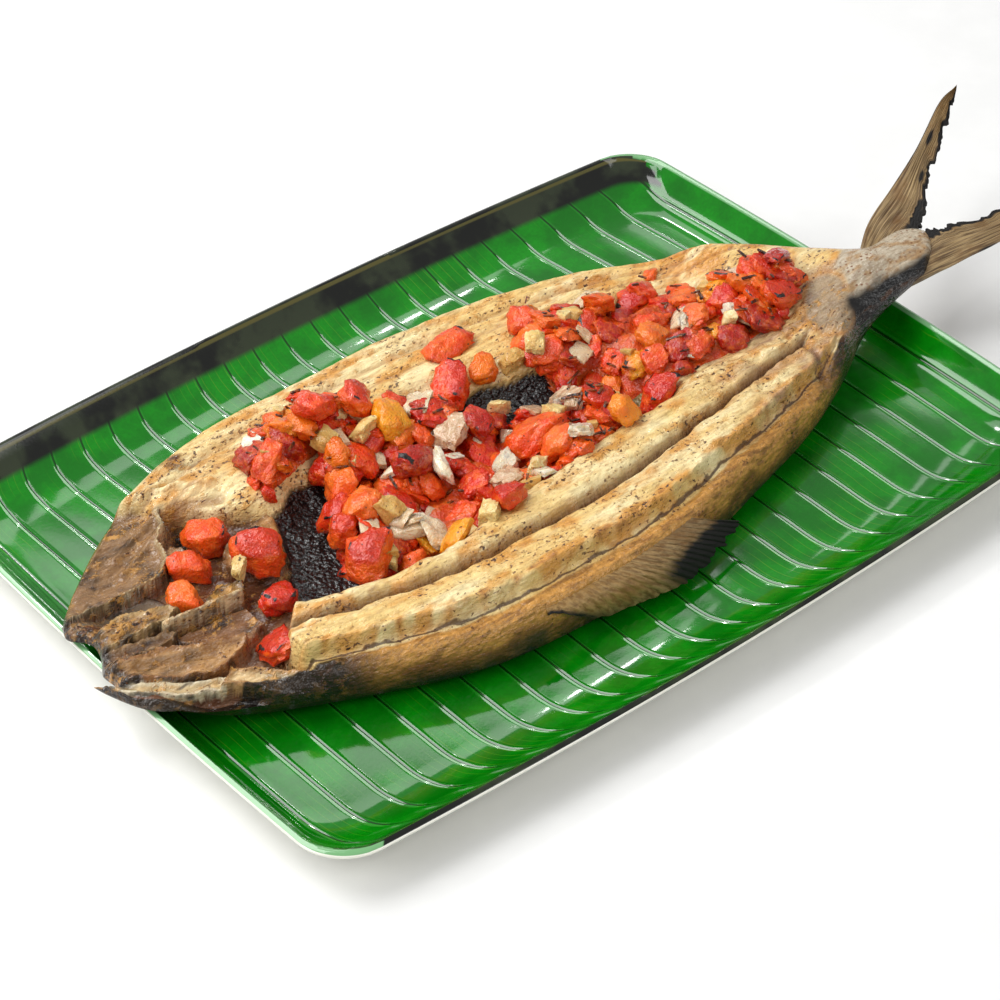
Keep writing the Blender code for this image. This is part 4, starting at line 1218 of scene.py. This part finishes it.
# Pieces with a place of their own: kind, x, y, length, width, height, turn in degrees and which tint
keyPieces = [
    ("red", -0.1205, 0.0065, 0.012, 0.0105, 0.009, -45, 3),
    ("red", -0.1095, 0.0175, 0.014, 0.0085, 0.0075, -45, 1),
    ("red", -0.098, 0.0275, 0.014, 0.0115, 0.01, -40, 1),
    ("red", -0.0935, 0.0065, 0.015, 0.0105, 0.0095, 150, 4),
    ("red", -0.0975, -0.0105, 0.014, 0.009, 0.008, 20, 2),
    ("red", -0.111, -0.027, 0.018, 0.01, 0.0065, 78, 0),
    ("red", 0.0054, 0.035, 0.013, 0.0115, 0.008, 40, 0),
    ("red", 0.0164, 0.0492, 0.019, 0.0105, 0.0055, 5, 1),
    ("red", 0.096, 0.037, 0.0065, 0.0045, 0.003, 25, 3),
    ("orange", 0.018, 0.033, 0.011, 0.008, 0.006, 20, 1),
    ("garlic", -0.101, 0.006, 0.005, 0.0045, 0.0045, 30, 0),
    ("red", -0.045, 0.0405, 0.013, 0.011, 0.008, 20, 0),
    ("red", -0.03, 0.039, 0.012, 0.01, 0.008, 60, 1),
    ("orange", -0.026, 0.028, 0.014, 0.011, 0.008, 85, 2),
    ("garlic", -0.036, 0.029, 0.0075, 0.0065, 0.006, 15, 0),
    ("onion", -0.014, 0.0285, 0.011, 0.008, 0.0045, 40, 0),
    ("garlic", 0.028, 0.031, 0.007, 0.0065, 0.0055, 10, 1),
    ("garlic", 0.035, 0.027, 0.0065, 0.006, 0.0055, 50, 0),
    ("garlic", 0.013, 0.019, 0.007, 0.006, 0.0055, 30, 2),
    ("red", -0.057, 0.001, 0.013, 0.012, 0.009, 15, 3),
    ("red", -0.0655, 0.0005, 0.011, 0.009, 0.008, 50, 1),
    ("red", -0.06, 0.011, 0.0115, 0.0095, 0.0085, 30, 0),
    ("red", -0.052, 0.019, 0.012, 0.0095, 0.0085, 70, 3),
    ("orange", -0.047, 0.026, 0.0095, 0.008, 0.007, 25, 1),
    ("onion", -0.062, -0.008, 0.0085, 0.006, 0.004, 60, 0),
    ("garlic", -0.051, -0.005, 0.008, 0.007, 0.0065, 20, 1),
    ("red", -0.03, 0.0075, 0.02, 0.0095, 0.0085, 15, 5),
    ("onion", -0.025, 0.002, 0.012, 0.0055, 0.005, 75, 2),
    ("onion", -0.011, 0.014, 0.0105, 0.009, 0.0045, 20, 1),
    ("red", -0.002, 0.011, 0.011, 0.0095, 0.0075, 35, 5),
    ("red", -0.067, -0.015, 0.015, 0.013, 0.0085, 40, 1),
    ("orange", -0.042, -0.028, 0.011, 0.009, 0.007, 10, 2),
    ("garlic", -0.031, -0.0285, 0.0075, 0.0065, 0.006, 35, 0),
    ("red", -0.023, -0.028, 0.012, 0.0095, 0.0075, 10, 0),
    ("onion", -0.045, -0.0185, 0.011, 0.008, 0.0045, 70, 0),
    ("onion", -0.012, -0.0145, 0.0125, 0.0085, 0.0045, 20, 1),
    ("red", 0.01, -0.003, 0.02, 0.014, 0.009, 10, 1),
    ("red", 0.008, -0.016, 0.012, 0.01, 0.008, 60, 3),
    ("garlic", 0.02, 0.0, 0.007, 0.0065, 0.006, 20, 0),
    ("garlic", -0.003, -0.018, 0.007, 0.006, 0.006, 45, 2),
    ("onion", 0.015, -0.0195, 0.01, 0.0075, 0.0045, 35, 2),
    ("orange", 0.032, -0.021, 0.011, 0.0085, 0.0065, 15, 0),
    ("garlic", 0.042, -0.003, 0.007, 0.006, 0.0055, 25, 0),
    ("onion", 0.043, -0.0095, 0.008, 0.007, 0.0045, 15, 2),
    ("red", 0.054, -0.012, 0.013, 0.01, 0.008, 15, 2),
    ("red", 0.12, 0.002, 0.012, 0.007, 0.0035, 20, 5),
]


class Ground:
    # the height of what lies on the tray, on a fine square mesh, raised by every piece laid on it
    def __init__(self, piece, low=(-0.17, -0.09), high=(0.16, 0.09), pitch=0.001):
        self.low, self.pitch = np.array(low), pitch
        counts = np.rint((np.array(high) - low) / pitch).astype(int)
        self.level = np.zeros(counts)
        tree = BVHTree.FromObject(piece, bpy.context.evaluated_depsgraph_get())
        for i in range(counts[0]):
            for j in range(counts[1]):
                x, y = low[0] + (i + 0.5) * pitch, low[1] + (j + 0.5) * pitch
                hit = tree.ray_cast(Vector((x, y, 0.2)), Vector((0, 0, -1)))[0]
                if hit:
                    self.level[i, j] = hit.z
        self.bed = self.level.copy()

    def cells(self, x, y, reach):
        # the cells within reach, with each one's offset from the place
        low = np.maximum(((np.array((x, y)) - reach - self.low) / self.pitch).astype(int), 0)
        high = ((np.array((x, y)) + reach - self.low) / self.pitch).astype(int) + 1
        i, j = np.meshgrid(np.arange(low[0], high[0]), np.arange(low[1], high[1]), indexing="ij")
        i = np.clip(i, 0, self.level.shape[0] - 1)
        j = np.clip(j, 0, self.level.shape[1] - 1)
        return i, j, self.low[0] + (i + 0.5) * self.pitch - x, self.low[1] + (j + 0.5) * self.pitch - y

    def cellAt(self, x, y):
        i = np.clip(((np.asarray(x) - self.low[0]) / self.pitch).astype(int), 0, self.level.shape[0] - 1)
        j = np.clip(((np.asarray(y) - self.low[1]) / self.pitch).astype(int), 0, self.level.shape[1] - 1)
        return i, j

    def heightAt(self, x, y):
        return self.level[self.cellAt(x, y)]

    def settle(self, x, y, size, turn, sink, lift):
        # where a piece comes to lie: its base level and the slope under it, at most lift above the bed
        length, width, height = size
        i, j, offX, offY = self.cells(x, y, max(length, width) * 0.6)
        along = offX * math.cos(turn) + offY * math.sin(turn)
        side = -offX * math.sin(turn) + offY * math.cos(turn)
        under = (np.abs(along) < length * 0.42) & (np.abs(side) < width * 0.42)
        levels = self.level[i, j][under]
        if len(levels) < 3:
            return float(self.heightAt(x, y)), 0.0, 0.0
        known = np.stack([np.ones(under.sum()), offX[under], offY[under]], 1)
        slopeX, slopeY = np.linalg.lstsq(known, levels, rcond=None)[0][1:]
        slopeX, slopeY = np.clip((slopeX, slopeY), -salsa["slope"], salsa["slope"])
        base = mix(np.median(levels), np.percentile(levels, 88), 0.35) - sink
        base = min(base, np.percentile(self.bed[i, j][under], 70) + lift)
        wide = (np.abs(along) < length * 0.5) & (np.abs(side) < width * 0.5)
        top = base + slopeX * offX + slopeY * offY + height * 0.93
        self.level[i[wide], j[wide]] = np.maximum(self.level[i[wide], j[wide]], top[wide])
        return float(base), float(slopeX), float(slopeY)


def cutCube(cuts):
    # the block that every diced piece is cut from
    bpy.ops.object.select_all(action="DESELECT")
    bpy.ops.mesh.primitive_cube_add(size=1)
    block = bpy.context.object
    editOn(block)
    bpy.ops.mesh.select_all(action="SELECT")
    bpy.ops.mesh.subdivide(number_cuts=cuts)
    editOff()
    return block


def cutPiece(block, rng, size, place, turn, slope, tint, skin=False, rounding=0.3, chips=3, waves=0.05):
    # one uneven dice: rounded, chipped along a few planes, bent a little and laid on its slope
    seed = rng.randrange(10000)
    shape = pointsOf(block)
    length = np.linalg.norm(shape, axis=1)[:, None] + 1e-9
    shape = mix(shape, shape / length * 0.56, rounding)
    for _ in range(chips):
        normal = Vector((rng.gauss(0, 1), rng.gauss(0, 1), rng.gauss(0, 0.6))).normalized()
        over = np.maximum(shape @ np.array(normal) - rng.uniform(0.3, 0.46), 0)
        shape = shape - over[:, None] * np.array(normal) * 0.72
    waver = roughNoise(seed, 2, shape[:, 0] * 2.6 + 7, shape[:, 1] * 2.6 + 3, shape[:, 2] * 2.6 + 5)
    fine = softNoise(seed + 9, shape[:, 0] * 8 + 7, shape[:, 1] * 8 + 3, shape[:, 2] * 8 + 5)
    shape = shape * (1 + waves * 1.6 * waver + waves * 1.1 * fine)[:, None]
    shifts = [softNoise(seed + k, *(shape.T * 6 + 9)) for k in (20, 21, 22)]
    shape = shape + waves * 0.8 * np.stack(shifts, 1)
    # skin is left on one face, with a thin burnt edge round it
    axis = rng.choice((0, 2, 2))
    skinSide = ease(0.3, 0.42, shape[:, axis]) * float(skin)
    edge = ease(0.36, 0.45, np.sort(np.abs(shape), axis=1)[:, 1])
    burnt = edge * ease(0.16, 0.34, shape[:, axis]) * float(skin) * ease(-0.35, 0.25, waver + 0.5 * fine)
    local = shape * np.array(size)
    local[:, 2] += size[2] * 0.5 - size[2] * 0.3 * (local[:, 0] / size[0]) ** 2
    lean = Matrix.Rotation(turn, 3, "Z")
    tilt = Matrix.Rotation(rng.gauss(0, 0.1), 3, "X") @ Matrix.Rotation(rng.gauss(0, 0.1), 3, "Y")
    world = local @ np.array(lean @ tilt).T
    world[:, 2] += slope[0] * world[:, 0] + slope[1] * world[:, 1]
    copy = copyOf(block)
    movePoints(copy, world + np.array(place))
    varied = np.array(tint)[None, :] * (1 + 0.2 * waver[:, None])
    keepTone(copy, "pieceTone", blendTone(varied, tone(200, 34, 16), skinSide * 0.75))
    keepValue(copy, "pieceSkin", skinSide)
    keepValue(copy, "pieceBurnt", burnt)
    return copy


def alongHeap(line, place):
    # the middle, the half width and the thickness of a heap, at a place counted in its stations
    return [curveThrough([(i, point[k]) for i, point in enumerate(line)])(place) for k in range(4)]


def spotOn(line, place, side):
    x, y, halfWidth = (float(value) for value in alongHeap(line, place)[:3])
    return x + 0.3 * side * halfWidth, y + side * halfWidth


def layPiece(ground, block, rng, kind, x, y, size, turn, tint, sink=0.0008, lift=0.002, **cut):
    base, slopeX, slopeY = ground.settle(x, y, size, turn, sink, lift)
    kind.append(cutPiece(block, rng, size, (x, y, base), turn, (slopeX, slopeY), tone(*tint), **cut))


def makeCore(name, line, ground):
    # the soft pulp under each heap
    piece = addGrid(name, 70, 36)
    flat = pointsOf(piece)
    last = len(line) - 1
    place = (flat[:, 0] + 1) / 2 * last
    side = flat[:, 1]
    middleX, middleY, halfWidth, thickness = alongHeap(line, place)
    x = middleX + 0.3 * side * halfWidth * 0.97
    y = middleY + side * halfWidth * 0.97
    dome = np.sqrt(np.clip(1 - side ** 2, 0, 1)) * np.clip(np.sin(math.pi * place / last) * 3, 0, 1)
    under = ground.heightAt(x, y)
    lumps = 0.0026 * roughNoise(300, 3, x / 0.0048, y / 0.0048)
    z = under - 0.0006 + (thickness * 0.55 + lumps) * dome
    movePoints(piece, np.stack([x, y, z], 1))
    grown = growBorder(piece)
    places = pointsOf(piece)
    places[grown, 2] -= 0.0012
    movePoints(piece, places)
    closeBorder(piece)
    tidyMesh(piece)
    places = pointsOf(piece)
    mottle = roughNoise(310, 2, places[:, 0] / 0.005, places[:, 1] / 0.005)
    pulp = blendTone(tone(220, 74, 22), tone(196, 84, 30), ease(-0.3, 0.5, mottle))
    keepTone(piece, "pieceTone", pulp)
    keepValue(piece, "pieceSkin", np.zeros(len(places)))
    keepValue(piece, "pieceBurnt", np.zeros(len(places)))
    np.maximum.at(ground.level, ground.cellAt(x, y), z)
    return piece


def makeSalsa(ground):
    rng = random.Random(salsa["seed"])
    coarse, fine, flake = cutCube(3), cutCube(7), cutCube(1)
    kinds = {"tomatoDice": [], "onionBits": [], "garlicBits": [], "charFlecks": []}
    kindOf = {"red": "tomatoDice", "orange": "tomatoDice", "garlic": "garlicBits", "onion": "onionBits"}
    cores = [makeCore(name + "Pulp", line, ground) for name, line in heapLines.items()]
    ground.bed = ground.level.copy()
    for name, (large, small, pale, lift) in heapFill.items():
        line = heapLines[name]
        last = len(line) - 1
        for _ in range(small):
            x, y = spotOn(line, last * rng.uniform(0.03, 0.97), rng.uniform(-1, 1))
            side = rng.uniform(0.0042, 0.007)
            size = (side * rng.uniform(1.0, 1.4), side, side * rng.uniform(0.6, 0.9))
            turn = rng.uniform(0, salsa["anyTurn"])
            layPiece(ground, coarse, rng, kinds["tomatoDice"], x, y, size, turn,
                     rng.choice(salsa["red"]), lift=lift * 0.6, rounding=0.5, waves=0.14)
        for k in range(large):
            side = (0.0, 0.62, -0.62, 0.85, -0.85, 0.3, -0.3)[k % 7] + rng.uniform(-0.12, 0.12)
            x, y = spotOn(line, last * (k + 0.5) / large, side)
            width = rng.uniform(0.0066, 0.0108)
            size = (width * rng.uniform(0.95, 1.35), width, width * rng.uniform(0.5, 0.72))
            tint = rng.choice(salsa["red"] if rng.random() < 0.88 else salsa["orange"])
            turn = rng.uniform(0, salsa["anyTurn"])
            layPiece(ground, fine, rng, kinds["tomatoDice"], x, y, size, turn, tint,
                     sink=0.0022, lift=lift * 0.9, skin=rng.random() < 0.3,
                     rounding=rng.uniform(0.35, 0.75), chips=5, waves=0.09)
        for _ in range(pale):
            x, y = spotOn(line, last * rng.uniform(0.02, 0.98), rng.uniform(-0.95, 0.95))
            kind = "garlic" if rng.random() < salsa["garlicShare"] else "onion"
            widths, lengths, heights, softness = paleSizes[kind]
            width = rng.uniform(*widths)
            size = (width * rng.uniform(*lengths), width, width * rng.uniform(*heights))
            turn = rng.uniform(0, salsa["anyTurn"])
            layPiece(ground, coarse, rng, kinds[kindOf[kind]], x, y, size, turn, rng.choice(salsa[kind]),
                     sink=0.0012, lift=lift, rounding=softness, chips=2)
        for _ in range(large):
            x, y = spotOn(line, last * rng.uniform(0.02, 0.98), rng.uniform(-1.1, 1.1))
            width = rng.uniform(0.0005, 0.001)
            size = (width * rng.uniform(2.0, 7.0), width, 0.0006)
            turn = rng.uniform(0, salsa["anyTurn"])
            layPiece(ground, flake, rng, kinds["charFlecks"], x, y, size, turn,
                     rng.choice(salsa["char"]), sink=0.0002, lift=lift + 0.009, chips=1)
    for kind, x, y, length, width, height, turn, tint in keyPieces:
        size = (length, width, height)
        layPiece(ground, fine, rng, kinds[kindOf[kind]], x, y, size, math.radians(turn),
                 salsa[kind][tint], sink=0.0012, lift=salsa["keyLift"], skin=kind == "red" and tint != 3,
                 rounding=0.62 if kind in ("red", "orange") else 0.15, chips=4, waves=0.08)
    for block in (coarse, fine, flake):
        bpy.data.objects.remove(block, do_unlink=True)
    made = {name: joinAll(name, parts) for name, parts in kinds.items() if parts}
    made["tomatoPulp"] = joinAll("tomatoPulp", cores)
    return made


# How rough, clear and coated each kind's flesh is, its pulp's tone and how seldom it has dark dots
juices = {
    "juicyTomato": {
        "rough": 0.34, "weight": 0.25, "radius": (1.0, 0.25, 0.05), "coat": 0.6, "pulp": (250, 130, 30),
        "dotted": 0.7,
    },
    "clearOnion": {
        "rough": 0.24, "weight": 0.55, "radius": (1.0, 0.8, 0.6), "coat": 1.0, "pulp": (240, 222, 190),
        "dotted": 0.74,
    },
    "softGarlic": {
        "rough": 0.34, "weight": 0.3, "radius": (1.0, 0.8, 0.5), "coat": 0.6, "pulp": (206, 142, 56),
        "dotted": 0.7,
    },
}
finishOf = {"onionBits": "clearOnion", "garlicBits": "softGarlic"}


def juicyFinish(name, rough, weight, radius, coat, pulp, dotted):
    material, tree, shader = newMaterial(name)
    paint = readValue(tree, "pieceTone", "Color")
    skin, burnt = readValue(tree, "pieceSkin"), readValue(tree, "pieceBurnt")
    place = objectPlace(tree)
    flesh = noiseOn(tree, place, 420, 3)
    grain = noiseOn(tree, place, 1500, 1)
    lumps = noiseOn(tree, place, 170, 1)
    bare = spread(tree, skin, 0.8, 0.2, 0.25, 1.0)
    pulpy = times(tree, spread(tree, flesh, 0.4, 0.7, 0.0, 0.42), bare)
    colour = mixTones(tree, pulpy, paint, tone(*pulp))
    colour = mixTones(tree, spread(tree, lumps, 0.4, 0.66, 0.0, 0.4), colour, paint, "MULTIPLY")
    specks = noiseOn(tree, place, 620, 2, 0.4)
    specks = spread(tree, specks, dotted, dotted + 0.03, 0.0, 0.85)
    colour = mixTones(tree, specks, colour, tone(58, 24, 12))
    edge = timesPlus(tree, sums(tree, "SUBTRACT", flesh, 0.5), 0.9, burnt)
    colour = mixTones(tree, spread(tree, edge, 0.42, 0.62), colour, tone(26, 14, 10))
    relief = timesPlus(tree, flesh, 0.8, times(tree, grain, 0.3))
    relief = timesPlus(tree, lumps, 1.0, relief)
    # the juice on top is smoother than the pulp under it
    wavy = timesPlus(tree, flesh, 0.55, lumps)
    feed(tree, shader, {
        "Base Color": colour, "Roughness": spread(tree, skin, 0.0, 1.0, rough, rough * 0.6), "IOR": 1.4,
        "Normal": bumpFrom(tree, relief, 0.8, 0.0018), "Coat Normal": bumpFrom(tree, wavy, 0.9, 0.002),
        "Coat Weight": coat, "Coat Roughness": 0.02, "Subsurface Weight": weight,
        "Subsurface Radius": radius, "Subsurface Scale": 0.003,
    })
    return material


# Studio

studio = {
    "target": (-0.0166, -0.0163, 0.015), "distance": 0.9154, "azimuth": -40.2, "elevation": 39.8,
    "lens": 105.58, "sensor": 36.0, "worldLight": 0.3, "paper": [(0.86, 0.86, 0.85), (0.89, 0.89, 0.88)],
    "softboxes": [
        ("overheadSoftbox", (-0.35, 0.55, 0.95), 1.1, 0.8, 0.8, 10.0),
        ("leftSoftbox", (-0.85, 0.1, 0.62), 1.2, 0.6, 0.6, 4.6),
        ("frontFill", (0.2, -0.85, 0.75), 1.5, 0.9, 0.9, 5.4),
    ],
    "mirrors": [
        ("headMirror", (0.41, 0.632, 0.7), 0.355, 0.337, 0.72),
        ("tailMirror", (0.869, 0.69, 0.7), 0.083, 0.347, 0.16),
        ("backSparkle", (0.545, 0.64, 0.69), 0.07, 0.07, 0.45),
        ("sideSparkle", (-0.15, 0.75, 0.85), 0.07, 0.07, 1.4),
    ],
}


def addLamp(name, place, width, height, power):
    # a rectangular lamp that shines straight down
    bpy.ops.object.light_add(type="AREA", location=place)
    light = bpy.context.object
    light.name = name
    light.data.shape = "RECTANGLE"
    light.data.size = width
    light.data.size_y = height
    light.data.energy = power
    return light


def makeStudio():
    scene = bpy.context.scene
    turn, rise = math.radians(studio["azimuth"]), math.radians(studio["elevation"])
    back = Vector((math.sin(turn) * math.cos(rise), -math.cos(turn) * math.cos(rise), math.sin(rise)))
    bpy.ops.object.camera_add(location=Vector(studio["target"]) + back * studio["distance"])
    camera = bpy.context.object
    camera.name = "photoCamera"
    camera.rotation_euler = back.to_track_quat("Z", "Y").to_euler()
    camera.data.lens = studio["lens"]
    camera.data.sensor_width = studio["sensor"]
    camera.data.clip_start = 0.01
    scene.camera = camera
    target = Vector(studio["target"])
    for name, direction, distance, *rest in studio["softboxes"]:
        direction = Vector(direction).normalized()
        light = addLamp(name, target + direction * distance, *rest)
        light.rotation_euler = direction.to_track_quat("Z", "Y").to_euler()
    # level softboxes that the tray's flat floor mirrors, and small lamps that sparkle on what is wet
    for lamp in studio["mirrors"]:
        addLamp(*lamp)
    world = scene.world or bpy.data.worlds.new("studioWorld")
    scene.world = world
    world.use_nodes = True
    background = world.node_tree.nodes["Background"]
    feed(world.node_tree, background, {"Color": (1, 1, 1, 1), "Strength": studio["worldLight"]})
    bpy.ops.mesh.primitive_plane_add(size=8, location=(0, 0, -0.0002))
    floor = bpy.context.object
    floor.name = "paleFloor"
    material, tree, shader = newMaterial("palePaper")
    grain = noiseOn(tree, objectPlace(tree), 40, 3)
    colour = mixTones(tree, spread(tree, grain, 0.3, 0.7), *studio["paper"])
    feed(tree, shader, {"Base Color": colour, "Roughness": 0.9})
    floor.data.materials.append(material)


makeStudio()
print("studio ready")

servingTray = makeTray()
finishPiece(servingTray, ["tray"], trayGlaze(), 40)

fishBody = makeFishBody()
flesh = fishFinish()
finishPiece(fishBody, ["fish"], flesh, 70)
finSurface = finFinish()
finishPiece(makeTailFin(), ["fish"], finSurface, 50)
finishPiece(makeDorsalFin(), ["fish"], finSurface, 50)
print("fish ready")

ground = Ground(fishBody)
salsaNodes = [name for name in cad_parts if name.startswith(("salsa", "tomato"))]
finishes = {name: juicyFinish(name, **values) for name, values in juices.items()}
for name, piece in makeSalsa(ground).items():
    angle = 78 if name == "tomatoDice" else 45
    finishPiece(piece, salsaNodes, finishes[finishOf.get(name, "juicyTomato")], angle)
print("salsa ready")
